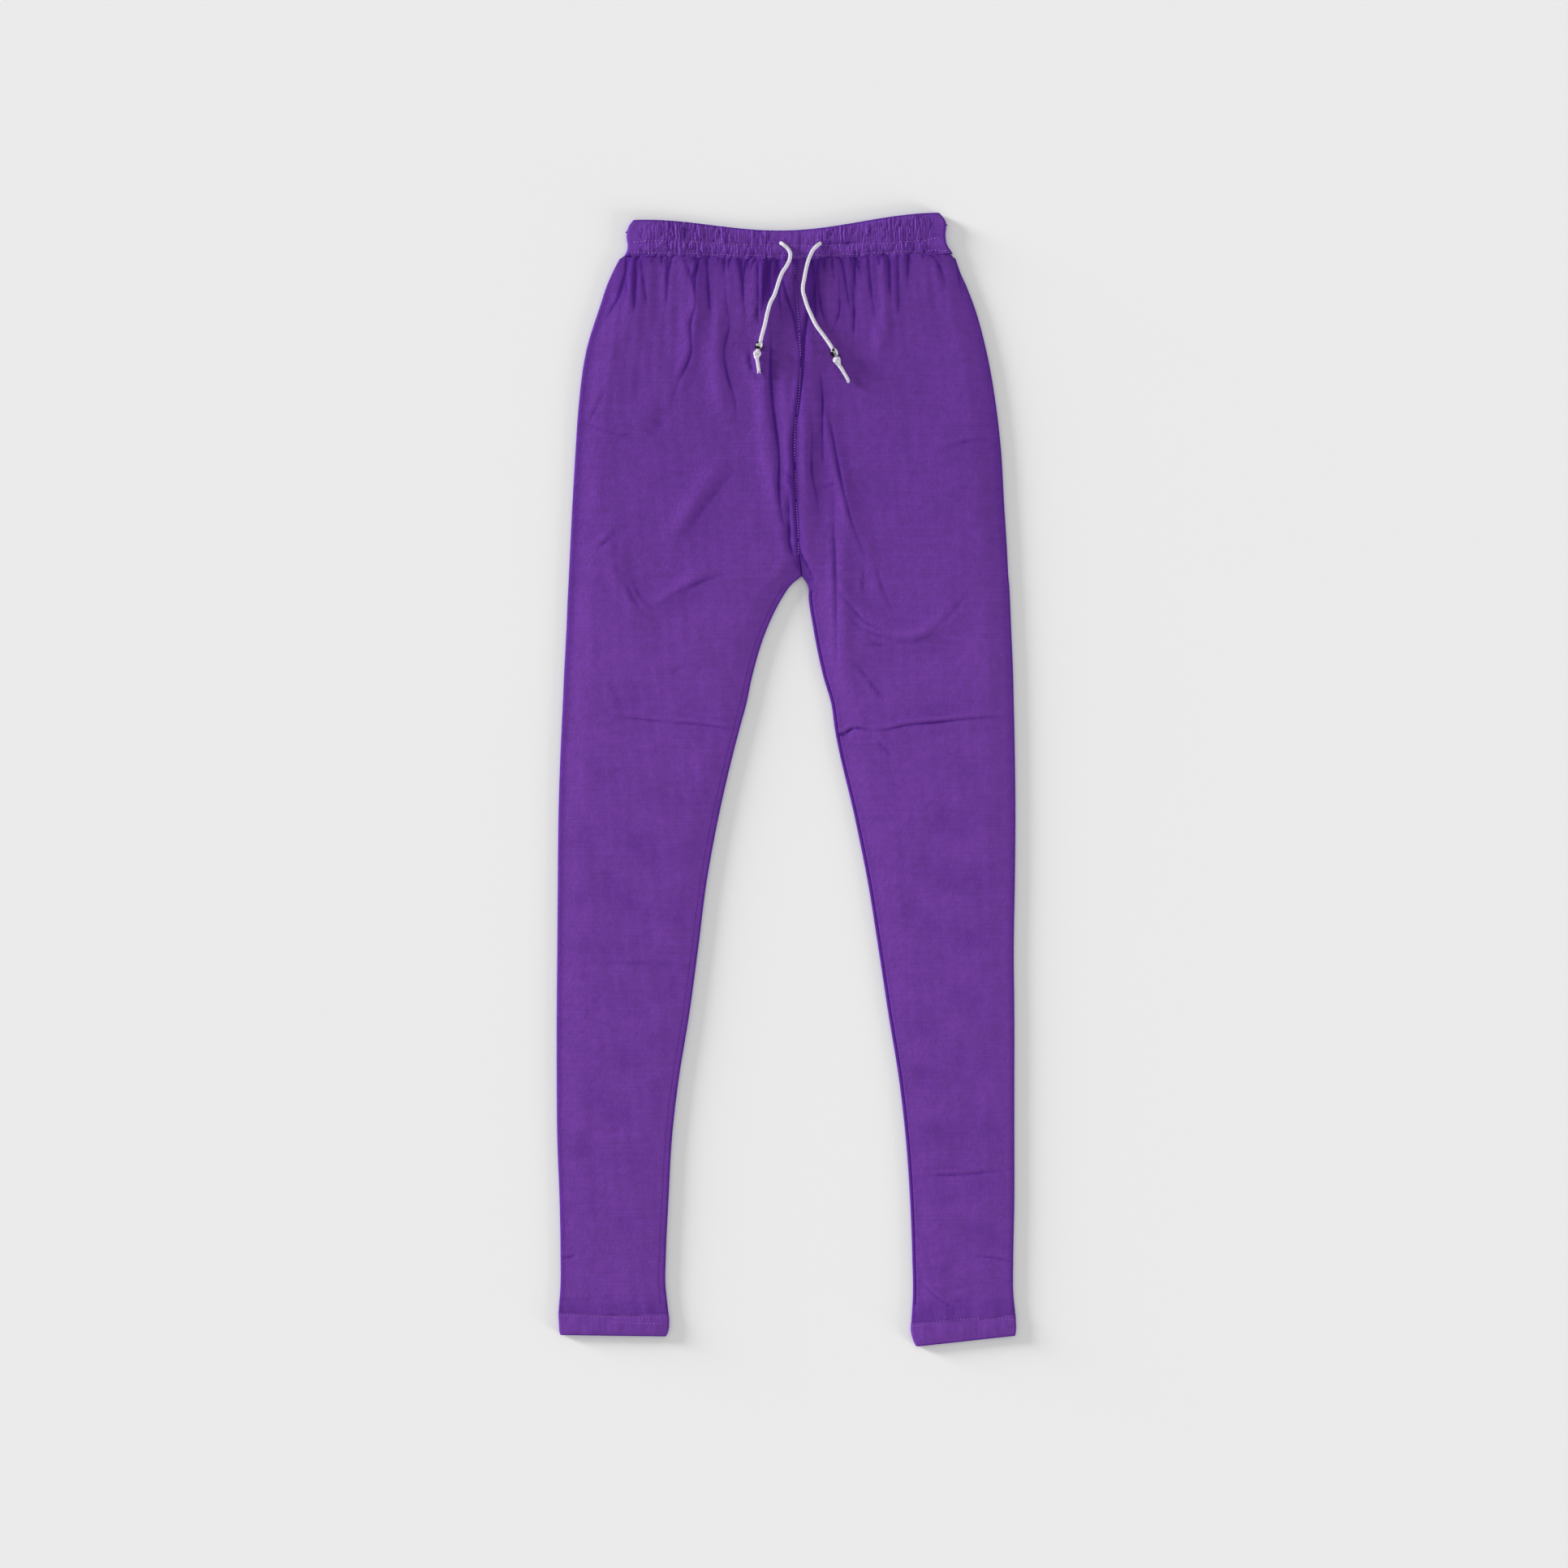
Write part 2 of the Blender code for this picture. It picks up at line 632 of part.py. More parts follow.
def make_hem(name, sections, material, collection):
    """A turned-up hem: a flat ring, two plies thick."""
    cloth = Cloth()
    rows = {0.0: [], HEM_WALL: []}
    for inset, made in rows.items():
        for section, lift in zip(sections, HEM_LIFTS):
            ends = sorted(((section.outer_x, section.outer_y), (section.inner_x, section.inner_y)))
            left = np.array(ends[0])
            right = np.array(ends[1])
            radius = 0.5 * HEM_HEIGHT
            share = np.linspace(0.0, 1.0, HEM_FRONT_STEPS + 1)
            along = (right - left) / np.linalg.norm(right - left)
            plan = left + along * radius + (right - left - 2.0 * radius * along) * share[:, None]
            top = np.full(len(share), HEM_HEIGHT - inset)
            if inset == 0.0:
                top = top + lift * ease(GATHER_ENDS * np.minimum(share, 1.0 - share))

            def height_on_plan(part, left=left, right=right):
                return left[1] + (right[1] - left[1]) * part

            front = np.column_stack((plan, top))
            row = ring_row(left, right, front, height_on_plan, inset, HEM_HEIGHT, HEM_BACK_STEPS)
            made.append(cloth.add_row(row, True))
    outer, inner = rows.values()
    cloth.join_rows(outer)
    cloth.join_rows(inner)
    cloth.faces.extend(row_faces(outer[0], inner[0]))
    cloth.faces.extend(row_faces(outer[-1], inner[-1]))
    return cloth.make(name, material, collection)


def make_cord(name, route, diameter, material, collection):
    """A round cord along a smooth curve through its route's points."""
    points = np.array(route, dtype=float)
    stations = run_length(points)
    count = max(4, int(round(stations[-1] / CORD_POINT_SPACING)) + 1)
    smooth = curve_through(stations, points, np.linspace(0.0, stations[-1], count))
    curve = bpy.data.curves.new(name, "CURVE")
    curve.dimensions = "3D"
    curve.bevel_depth = 0.5 * diameter * MM
    curve.bevel_resolution = 2
    curve.use_fill_caps = True
    spline = curve.splines.new("POLY")
    spline.points.add(count - 1)
    for point, place in zip(spline.points, smooth):
        point.co = (*(place * MM), 1.0)
    curve.materials.append(material)
    item = bpy.data.objects.new(name, curve)
    collection.objects.link(item)
    return item


def make_bead(name, route, place, material, collection):
    """A faceted metal bead, turned about the cord that runs through it."""
    radius = 0.5 * BEAD_DIAMETER * MM
    bore = 0.5 * BEAD_BORE * MM
    half = 0.5 * BEAD_LENGTH * MM
    belt = BEAD_BELT * half
    profile = (
        (radius, belt),
        (radius, -belt),
        (0.5 * (radius + bore), -half),
        (bore, -half),
        (bore, half),
        (0.5 * (radius + bore), half),
    )
    mesh = bpy.data.meshes.new(name)
    edges = [(step, (step + 1) % len(profile)) for step in range(len(profile))]
    mesh.from_pydata([(x, 0.0, z) for x, z in profile], edges, [])
    mesh.materials.append(material)
    item = bpy.data.objects.new(name, mesh)
    turned = item.modifiers.new("turn", "SCREW")
    turned.steps = BEAD_SIDES
    turned.render_steps = BEAD_SIDES
    turned.use_merge_vertices = True
    turned.merge_threshold = 0.00001
    turned.use_smooth_shade = False
    points = np.array(route, dtype=float)
    before = points[place - 1]
    after = points[min(place + 1, len(points) - 1)]
    direction = (after - before) / np.linalg.norm(after - before)
    item.location = tuple(points[place] * MM)
    item.rotation_euler = (math.acos(direction[2]), 0.0, math.atan2(direction[0], -direction[1]))
    collection.objects.link(item)
    return item


def make_knot(name, knot, material, collection):
    """The knot that stops the bead: a rounded lump, longer along the cord."""
    mesh = bpy.data.meshes.new(name)
    shape = bmesh.new()
    bmesh.ops.create_uvsphere(shape, u_segments=KNOT_SEGMENTS, v_segments=KNOT_RINGS, radius=0.5)
    size = [side * MM for side in KNOT_SIZE]
    bmesh.ops.scale(shape, vec=size, verts=shape.verts)
    shape.to_mesh(mesh)
    shape.free()
    mesh.materials.append(material)
    mesh.shade_smooth()
    item = bpy.data.objects.new(name, mesh)
    item.location = (knot.x * MM, knot.y * MM, knot.z * MM)
    item.rotation_euler = (0.0, 0.0, -math.radians(knot.turn))
    collection.objects.link(item)
    return item


def main():
    clear_scene()
    garment = bpy.data.collections.new(OBJECT_NAME)
    bpy.context.scene.collection.children.link(garment)
    jersey = make_material("purple_jersey", PURPLE, 0.85)
    cotton = make_material("white_cord", CORD_WHITE, 0.8)
    metal = make_material("bead_metal", BEAD_METAL, 0.25, 1.0)
    make_leg("leg_right", RIGHT_LEG, -1.0, jersey, garment)
    make_leg("leg_left", LEFT_LEG, 1.0, jersey, garment)
    make_waistband(jersey, garment)
    make_hem("hem_right", HEM_ROWS_RIGHT, jersey, garment)
    make_hem("hem_left", HEM_ROWS_LEFT, jersey, garment)
    strings = (
        ("right", RIGHT_CORD, RIGHT_TAIL, RIGHT_KNOT, RIGHT_BEAD_POINT),
        ("left", LEFT_CORD, LEFT_TAIL, LEFT_KNOT, LEFT_BEAD_POINT),
    )
    for side, route, tail, knot, bead_point in strings:
        make_cord(f"cord_{side}", route, CORD_DIAMETER, cotton, garment)
        make_cord(f"tail_{side}", tail, TAIL_DIAMETER, cotton, garment)
        make_bead(f"bead_{side}", route, bead_point, metal, garment)
        make_knot(f"knot_{side}", knot, cotton, garment)


main()
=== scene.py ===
"""Churidar pants lying flat: fine jersey legs, a gathered elastic waistband, stitched hems and a drawstring.

Tables are in millimetres on the plan, +X to the right, +Y towards the waist. Meshes are in metres.
"""

import json
import math
from collections import namedtuple

import bpy
import numpy as np
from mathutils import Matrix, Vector
from mathutils.bvhtree import BVHTree

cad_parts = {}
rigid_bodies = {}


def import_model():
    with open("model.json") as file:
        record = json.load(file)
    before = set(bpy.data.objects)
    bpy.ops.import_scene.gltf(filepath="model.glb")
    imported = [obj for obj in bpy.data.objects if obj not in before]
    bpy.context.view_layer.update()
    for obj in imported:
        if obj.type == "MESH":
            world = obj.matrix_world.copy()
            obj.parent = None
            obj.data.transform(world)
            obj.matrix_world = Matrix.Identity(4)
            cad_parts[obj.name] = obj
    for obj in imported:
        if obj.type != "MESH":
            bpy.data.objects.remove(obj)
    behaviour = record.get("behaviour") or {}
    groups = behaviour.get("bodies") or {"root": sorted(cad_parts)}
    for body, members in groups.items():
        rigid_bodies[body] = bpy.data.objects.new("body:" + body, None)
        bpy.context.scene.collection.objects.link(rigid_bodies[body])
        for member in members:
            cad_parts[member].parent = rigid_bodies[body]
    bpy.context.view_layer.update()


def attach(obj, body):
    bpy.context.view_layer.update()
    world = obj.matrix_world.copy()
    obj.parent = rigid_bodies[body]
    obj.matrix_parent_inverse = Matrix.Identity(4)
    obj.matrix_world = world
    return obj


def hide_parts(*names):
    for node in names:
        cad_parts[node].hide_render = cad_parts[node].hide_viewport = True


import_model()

bl_info = {
    "name": "Churidar pants",
    "version": (1, 0, 0),
    "blender": (4, 5, 0),
    "location": "3D View > Sidebar > Pants",
    "description": "Makes a pair of knit churidar pants lying flat, with its stage",
    "category": "Add Mesh",
}

MM = 0.001

Section = namedtuple("Section", "outer_x outer_y inner_x inner_y")
Fold = namedtuple("Fold", "x0 y0 x1 y1 x2 y2 width rise")
Crease = namedtuple("Crease", "width depth ridge path")
BandRow = namedtuple("BandRow", "left_x left_y right_x right_y sag")
Knot = namedtuple("Knot", "x y z turn")
Inseam = namedtuple("Inseam", "groove_inset groove_depth stitch_inset")
Leg = namedtuple("Leg", "name side sections hem_rows hem_stitches inseam")
Drawstring = namedtuple("Drawstring", "side route bead_point tail knot")

# The cut of the legs, from the waistband down to the hem.
CENTRE_SEAM = (
    (9.5, 467.5),
    (8.0, 459.5),
    (8.0, 445.5),
    (9.0, 428.0),
    (13.0, 390.0),
    (9.5, 333.5),
    (8.0, 297.0),
    (9.0, 245.5),
    (11.5, 205.5),
    (14.0, 183.5),
)
CROTCH = len(CENTRE_SEAM) - 1
RIGHT_HIP = (
    (-150.5, 469.0),
    (-155.0, 460.5),
    (-161.5, 446.0),
    (-167.5, 428.0),
    (-179.5, 390.0),
    (-187.5, 333.5),
    (-190.0, 297.0),
    (-193.0, 245.5),
    (-195.0, 205.5),
    (-196.0, 184.5),
)
LEFT_HIP = (
    (152.5, 469.5),
    (156.5, 458.0),
    (162.0, 445.5),
    (169.0, 427.5),
    (179.5, 390.0),
    (189.5, 333.5),
    (193.5, 297.0),
    (196.5, 245.5),
    (199.0, 205.5),
    (200.0, 184.5),
)
RIGHT_SECTIONS = tuple(Section(*outer, *inner) for outer, inner in zip(RIGHT_HIP, CENTRE_SEAM)) + (
    Section(-196.5, 174.5, 3.5, 174.5),
    Section(-197.0, 165.0, -3.0, 165.0),
    Section(-198.0, 140.5, -15.5, 140.5),
    Section(-200.5, 92.0, -31.0, 92.0),
    Section(-201.5, 68.0, -36.0, 68.0),
    Section(-202.5, 48.0, -41.5, 48.0),
    Section(-205.5, -36.0, -61.5, -36.0),
    Section(-206.0, -90.5, -71.5, -90.5),
    Section(-206.5, -153.0, -79.5, -153.0),
    Section(-207.0, -212.0, -87.5, -212.0),
    Section(-207.0, -270.5, -97.0, -270.5),
    Section(-206.5, -323.0, -103.0, -323.0),
    Section(-204.5, -376.0, -106.0, -376.0),
    Section(-203.5, -428.5, -108.5, -428.5),
    Section(-203.5, -453.5, -109.0, -452.5),
    Section(-205.5, -481.0, -106.0, -482.0),
)
LEFT_SECTIONS = tuple(Section(*outer, *inner) for outer, inner in zip(LEFT_HIP, CENTRE_SEAM)) + (
    Section(201.0, 174.5, 19.5, 174.5),
    Section(201.5, 165.0, 20.0, 163.5),
    Section(202.5, 140.5, 23.5, 140.5),
    Section(204.5, 92.0, 33.5, 92.0),
    Section(205.0, 68.0, 40.5, 68.0),
    Section(205.5, 48.0, 43.5, 46.5),
    Section(206.5, -36.0, 62.0, -36.0),
    Section(206.0, -90.5, 73.0, -90.5),
    Section(205.0, -153.0, 83.0, -153.0),
    Section(205.5, -212.0, 92.0, -212.0),
    Section(205.5, -270.5, 101.5, -270.5),
    Section(205.5, -323.0, 107.5, -323.0),
    Section(205.5, -380.0, 111.5, -380.0),
    Section(204.5, -434.5, 113.5, -434.5),
    Section(204.5, -460.5, 114.0, -462.0),
    Section(206.5, -482.5, 112.5, -490.0),
)
HEM_ROWS_RIGHT = (
    Section(-205.5, -481.4, -106.0, -482.4),
    Section(-205.0, -491.5, -105.5, -487.0),
    Section(-204.3, -498.5, -107.0, -499.0),
    Section(-204.0, -499.7, -108.0, -501.0),
)
HEM_ROWS_LEFT = (
    Section(206.6, -482.9, 112.4, -490.4),
    Section(207.0, -488.5, 112.0, -495.0),
    Section(206.8, -498.5, 115.5, -508.0),
    Section(206.5, -500.5, 116.5, -510.0),
)
BAND_ROWS = (
    BandRow(-138.5, 503.5, 138.5, 510.0, 13.0),
    BandRow(-141.5, 499.5, 142.5, 505.0, 12.0),
    BandRow(-144.0, 489.0, 144.0, 497.0, 9.5),
    BandRow(-143.0, 481.0, 143.5, 489.5, 7.0),
    BandRow(-143.5, 477.0, 144.5, 483.0, 5.5),
    BandRow(-146.0, 471.8, 150.0, 473.8, 4.0),
)

# Broad folds that the cloth rides over.
BROAD_FOLDS = (
    Fold(25.0, 412.0, 16.0, 317.0, 20.0, 198.0, 9.0, 1.8),
    Fold(-3.0, 402.0, -1.0, 327.0, 5.0, 236.0, 8.0, 1.5),
    Fold(-23.0, 394.0, -20.0, 330.0, -8.0, 232.0, 8.0, 1.5),
    Fold(36.0, 330.0, 52.0, 263.0, 74.0, 200.0, 8.0, 1.2),
    Fold(52.0, 270.0, 51.0, 183.0, 51.0, 95.0, 8.0, 1.0),
    Fold(65.0, 158.0, 104.0, 127.0, 150.0, 147.0, 9.0, 1.2),
    Fold(-66.0, 280.0, -84.0, 247.0, -104.0, 218.0, 10.0, 1.1),
    Fold(-160.0, 222.0, -148.0, 178.0, -124.0, 140.0, 9.0, 1.1),
    Fold(-72.0, 186.0, -94.0, 171.0, -116.0, 160.0, 8.0, 0.9),
    Fold(-92.0, 458.0, -82.0, 421.0, -93.0, 360.0, 7.0, 1.2),
    Fold(-60.0, 425.0, -63.0, 372.0, -52.0, 320.0, 7.0, 1.2),
    Fold(84.0, 455.0, 88.0, 420.0, 80.0, 372.0, 7.0, 1.0),
)

# Creases: width and depth of the trough, height of the ridge beside it, and the line it follows.
CREASES = (
    Crease(1.09, 0.8, 0.5, (
        (-148.5, 468.5), (-140.0, 471.0), (-132.0, 473.0), (-126.0, 471.5), (-121.5, 472.5),
    )),
    Crease(1.01, 0.6, 0.4, ((-131.5, 460.0), (-129.0, 442.5), (-125.0, 426.5))),
    Crease(1.17, 0.7, 0.5, ((-115.5, 471.0), (-119.0, 464.0), (-125.0, 456.0))),
    Crease(1.25, 0.75, 0.5, (
        (-98.5, 469.0), (-90.0, 451.0), (-81.5, 434.5), (-86.0, 409.0), (-86.0, 383.5), (-97.0, 357.5),
        (-104.0, 337.0),
    )),
    Crease(1.09, 0.65, 0.4, (
        (-55.0, 445.0), (-53.5, 427.5), (-51.0, 409.0), (-56.0, 387.0), (-53.5, 365.5), (-47.0, 344.0),
        (-44.0, 322.0),
    )),
    Crease(1.01, 0.7, 0.4, ((-46.0, 465.0), (-42.0, 454.5), (-40.0, 444.0), (-38.0, 428.5), (-36.0, 416.0))),
    Crease(1.01, 0.8, 0.5, ((-25.5, 461.5), (-25.0, 434.5), (-25.0, 413.5), (-23.5, 409.0))),
    Crease(1.17, 1.0, 0.5, ((-15.5, 470.5), (-16.5, 458.0), (-17.5, 436.5), (-16.0, 426.5))),
    Crease(1.09, 1.1, 0.7, ((-5.5, 447.0), (2.5, 428.5), (7.5, 415.0), (11.0, 391.5))),
    Crease(1.17, 0.6, 0.5, ((-33.5, 390.5), (-31.5, 371.5), (-24.5, 357.5))),
    Crease(1.17, 1.4, 1.0, (
        (-13.0, 404.5), (-14.0, 387.0), (-14.5, 367.0), (-14.0, 352.0), (-11.0, 325.5), (-6.5, 289.0),
        (-7.0, 267.0), (-5.5, 247.0), (-2.5, 228.0),
    )),
    Crease(1.25, 1.7, 1.2, (
        (19.0, 451.0), (22.0, 438.0), (19.0, 417.0), (16.0, 390.5), (15.0, 371.5), (13.0, 352.0),
        (9.5, 325.5), (6.5, 308.5), (7.0, 278.5), (9.0, 247.0), (11.0, 214.5), (11.5, 191.5),
    )),
    Crease(1.56, 1.4, 0.9, ((2.0, 260.5), (2.5, 234.0), (3.5, 210.5), (10.5, 191.0))),
    Crease(1.25, 0.9, 0.6, ((30.0, 370.0), (32.0, 352.0), (32.5, 312.5), (33.0, 282.5))),
    Crease(1.4, 0.7, 0.6, ((22.0, 330.0), (23.0, 319.0), (23.0, 273.5), (28.0, 250.0), (30.5, 229.0))),
    Crease(1.17, 0.9, 0.6, (
        (36.0, 337.0), (38.5, 325.5), (46.0, 286.5), (51.5, 260.5), (60.5, 227.5), (71.0, 201.5),
    )),
    Crease(1.4, 0.35, 0.4, ((42.5, 264.0), (42.5, 234.0), (44.5, 195.0), (45.0, 147.0), (44.0, 95.5))),
    Crease(1.01, 0.7, 0.4, ((41.5, 465.5), (41.5, 449.0), (44.0, 439.5))),
    Crease(1.01, 0.6, 0.4, ((64.0, 461.5), (66.5, 445.0))),
    Crease(1.09, 0.8, 0.5, ((60.0, 443.5), (61.0, 425.5), (61.0, 412.0), (60.5, 392.0))),
    Crease(1.01, 0.6, 0.4, ((47.5, 445.5), (47.0, 417.5), (39.5, 401.0))),
    Crease(1.09, 0.7, 0.4, ((28.0, 450.0), (31.5, 423.0), (37.0, 405.5))),
    Crease(0.86, 0.9, 0.0, ((11.5, 208.5), (15.5, 199.0), (20.0, 191.0), (24.0, 180.5))),
    Crease(0.86, 0.6, 0.0, ((15.0, 182.5), (19.0, 181.5), (24.0, 180.0))),
    Crease(0.94, 0.5, 0.4, ((-2.0, 278.0), (2.5, 273.0), (6.5, 265.5))),
    Crease(0.94, 0.5, 0.3, ((-0.5, 271.5), (3.5, 265.5), (7.5, 260.5))),
    Crease(0.86, 0.5, 0.3, ((33.0, 263.5), (37.5, 264.5), (43.0, 266.0))),
    Crease(3.0, 0.8, 0.6, ((-49.0, 276.0), (-74.0, 245.5), (-93.5, 218.5))),
    Crease(5, 0.7, 0.5, ((-104.0, 336.5), (-116.5, 317.5), (-129.5, 303.0))),
    Crease(2.4, 0.45, 0.4, ((-154.5, 218.5), (-150.5, 185.0), (-142.5, 169.5), (-127.5, 144.0))),
    Crease(2.4, 0.6, 0.5, ((-58.0, 185.0), (-76.0, 179.0), (-96.0, 165.0), (-115.5, 155.5))),
    Crease(1.17, 0.4, 0.4, ((-171.0, 207.0), (-161.5, 215.0), (-153.0, 223.5))),
    Crease(1.09, 0.3, 0.3, ((-182.0, 322.0), (-160.0, 312.5), (-137.0, 308.5))),
    Crease(1.25, 0.3, 0.3, ((-162.5, 352.0), (-171.0, 335.0), (-178.5, 320.5))),
    Crease(2.4, 0.45, 0.5, (
        (65.0, 153.5), (80.5, 138.0), (96.0, 126.5), (112.0, 123.5), (129.5, 128.5), (149.5, 140.5),
    )),
    Crease(1.09, 0.3, 0.3, ((141.5, 299.0), (167.0, 305.0), (184.5, 306.5))),
    Crease(0.9, 0.35, 0.3, ((70.5, 190.0), (68.5, 178.0), (69.5, 168.0))),
    Crease(1.2, 0.5, 0.4, ((64.0, 103.0), (74.0, 90.0), (84.0, 76.5), (90.0, 71.0))),
    Crease(1.1, 0.35, 0.3, ((-147.0, 188.0), (-139.5, 167.0), (-126.0, 146.0))),
    Crease(1.0, 0.35, 0.3, ((-139.0, 181.0), (-130.5, 163.0), (-118.0, 152.0))),
    Crease(1.2, 0.28, 0.25, ((-117.0, 156.5), (-93.5, 171.0), (-55.5, 185.0))),
    Crease(1.4, 0.3, 0.3, ((-159.5, 86.0), (-152.0, 72.0), (-146.5, 57.5))),
    Crease(2.0, 0.2, 0.2, ((-110.0, 90.0), (-97.0, 99.0), (-84.0, 109.5))),
    Crease(1.1, 0.5, 0.4, ((45.5, 171.0), (58.0, 155.5), (70.0, 142.5), (84.0, 134.0))),
    Crease(1.0, 0.35, 0.3, ((66.0, 139.0), (80.0, 130.5), (96.0, 126.5))),
    Crease(1.3, 0.25, 0.3, ((104.0, 125.0), (122.0, 127.0), (138.0, 136.0))),
    Crease(1.0, 0.3, 0.2, ((57.0, 146.5), (63.0, 139.0), (70.0, 133.5))),
    Crease(1.0, 0.25, 0.2, ((72.0, 127.5), (82.0, 121.5), (93.0, 119.5))),
    Crease(1.1, 0.35, 0.3, ((80.5, 192.0), (87.0, 172.0), (95.5, 152.0))),
    Crease(1.8, 0.35, 0.3, ((128.0, 131.0), (151.0, 152.0), (165.5, 173.0))),
    Crease(1.0, 0.25, 0.3, ((43.0, 238.0), (44.0, 190.0), (45.5, 137.0), (47.0, 98.0))),
    Crease(1.2, 0.35, 0.3, ((80.5, 36.5), (87.0, 30.0), (95.0, 25.0))),
    Crease(1.1, 0.3, 0.3, ((84.0, 29.0), (91.0, 25.0), (97.0, 18.5))),
    Crease(0.8, 0.45, 0.5, ((-156.5, 57.5), (-106.0, 51.5), (-73.0, 49.0), (-42.5, 44.5))),
    Crease(0.8, 1.1, 0.6, (
        (42.5, 40.0), (47.0, 40.5), (53.5, 42.0), (58.0, 45.0), (63.0, 46.5), (72.0, 45.5),
    )),
    Crease(0.8, 0.75, 0.6, (
        (60.0, 46.0), (76.0, 44.5), (90.0, 45.0), (108.5, 49.0), (135.5, 51.5), (162.5, 54.5), (205.0, 57.5),
    )),
    Crease(0.8, 0.2, 0.2, ((90.0, -3.0), (99.0, -6.0), (107.5, -8.5))),
    Crease(1.01, 0.3, 0.3, ((-171.0, -165.5), (-128.0, -165.5), (-84.0, -168.0))),
    Crease(0.8, 0.5, 0.3, ((-205.0, -431.5), (-197.0, -430.5), (-188.0, -428.5))),
    Crease(0.8, 0.4, 0.3, ((104.0, -358.5), (135.0, -356.5), (162.0, -355.5), (214.0, -350.0))),
    Crease(0.8, 0.5, 0.3, ((169.0, -428.5), (191.0, -431.5), (205.0, -434.5))),
    Crease(0.8, 0.32, 0.3, ((119.0, -450.0), (127.0, -458.0), (136.0, -466.5), (156.0, -479.0))),
    Crease(1.4, 1.0, 0.7, ((119.5, 474.0), (127.5, 461.5), (134.0, 453.5), (143.5, 439.5))),
    Crease(1.17, 0.8, 0.5, ((135.0, 477.0), (140.5, 467.5), (145.5, 458.0))),
    Crease(0.94, 0.5, 0.3, ((147.0, 458.0), (151.0, 461.0), (154.5, 463.0))),
)

RIGHT_ROUTE = (
    (-3.0, 481.5, 8.0),
    (1.0, 478.0, 8.1),
    (3.5, 473.5, 8.1),
    (3.0, 468.0, 8.1),
    (0.5, 462.5, 8.1),
    (-4.0, 455.5, 8.0),
    (-6.5, 449.0, 8.1),
    (-9.0, 441.0, 8.0),
    (-11.0, 435.5, 7.9),
    (-14.0, 430.0, 7.7),
    (-17.0, 420.0, 7.6),
    (-19.5, 408.5, 7.8),
    (-22.0, 399.5, 8.6),
    (-23.0, 395.0, 9.2),
    (-24.5, 390.0, 9.6),
    (-25.5, 386.6, 9.6),
)
LEFT_ROUTE = (
    (28.5, 481.0, 8.0),
    (24.5, 477.0, 8.1),
    (21.5, 471.5, 8.1),
    (19.0, 464.5, 8.1),
    (17.5, 458.0, 8.1),
    (16.0, 450.0, 7.9),
    (15.0, 444.5, 7.8),
    (15.0, 439.0, 7.8),
    (16.5, 433.5, 7.8),
    (19.0, 425.5, 8.0),
    (22.5, 417.5, 8.1),
    (27.0, 408.5, 8.2),
    (32.5, 401.0, 8.1),
    (37.5, 394.0, 8.3),
    (41.0, 388.5, 8.9),
    (43.2, 384.0, 9.1),
    (44.3, 380.8, 9.1),
)
RIGHT_TAIL = ((-26.3, 378.3, 8.9), (-25.8, 375.0, 8.5), (-25.2, 371.0, 8.2), (-24.5, 367.0, 8.2))
LEFT_TAIL = ((47.4, 373.0, 8.1), (49.8, 369.5, 7.6), (53.0, 364.2, 7.3), (56.0, 359.0, 7.3))

# The rows of stitching, as lines on the plan, and where the inseams end.
INSEAM_END_Y = -474.0
MIDDLE_STITCHES_X = (-143.0, -100.0, -50.0, 0.0, 40.0, 62.0, 100.0, 143.0)
MIDDLE_STITCHES_Y = (484.5, 485.0, 482.5, 480.7, 480.7, 482.5, 483.5, 487.5)
CENTRE_FRONT_STITCHES = (
    (7.5, 464.0), (9.0, 433.0), (11.8, 404.5), (13.0, 379.0), (11.8, 349.5), (8.0, 317.5),
    (7.5, 298.5), (8.8, 251.0), (10.4, 226.5), (11.0, 203.0),
)
RIGHT_HEM_STITCHES = (
    ((-202.0, -482.8), (-177.0, -483.2), (-147.0, -484.6), (-111.0, -483.9)),
    ((-158.0, -488.5), (-135.0, -489.5), (-111.0, -489.8)),
)
LEFT_HEM_STITCHES = (
    ((113.0, -492.7), (125.5, -490.7), (138.0, -487.8), (160.0, -485.8), (184.0, -484.6), (206.5, -486.2)),
)

LEGS = (
    Leg("right", -1.0, RIGHT_SECTIONS, HEM_ROWS_RIGHT, RIGHT_HEM_STITCHES, Inseam(5.2, 0.18, 4.6)),
    Leg("left", 1.0, LEFT_SECTIONS, HEM_ROWS_LEFT, LEFT_HEM_STITCHES, Inseam(2.7, 0.5, 2.8)),
)
DRAWSTRINGS = (
    Drawstring("right", RIGHT_ROUTE, 14, RIGHT_TAIL, Knot(-26.4, 382.4, 9.2, 10.0)),
    Drawstring("left", LEFT_ROUTE, 15, LEFT_TAIL, Knot(45.6, 376.8, 8.5, -25.0)),
)

# How the cloth lies, in millimetres.
CLOTH_HEIGHT = 3.4
BAND_HEIGHT = 5.0
HEM_HEIGHT = 3.8
SEAM_HALF_GAP = 0.05
SEAM_ROLL = 0.5
SEAM_SLANT = 0.7
HIP_PUFF = 1.8
ANKLE_PUFF = 0.6
PUFF_EDGE = 26.0
PUFF_ANKLE_Y = -300.0
PUFF_HIP_Y = 300.0
CROTCH_BLEND = 30.0
SHOULDER_ROUND = 8.0
TOP_LINE_BLEND = 40.0
TOP_LINE_OVERLAP = 0.2
WAIST_TUCK = 0.12
CORD_RADIUS = 1.7
CORD_BED = 3.2
CORD_BED_RISE = 4.0
# Rows of a leg hidden inside the waistband: how far up, how much narrower and how much lower.
TUCKED_ROWS = ((3.8, 0.945, 0.75), (2.4, 0.965, 0.85), (1.2, 0.985, 0.95))

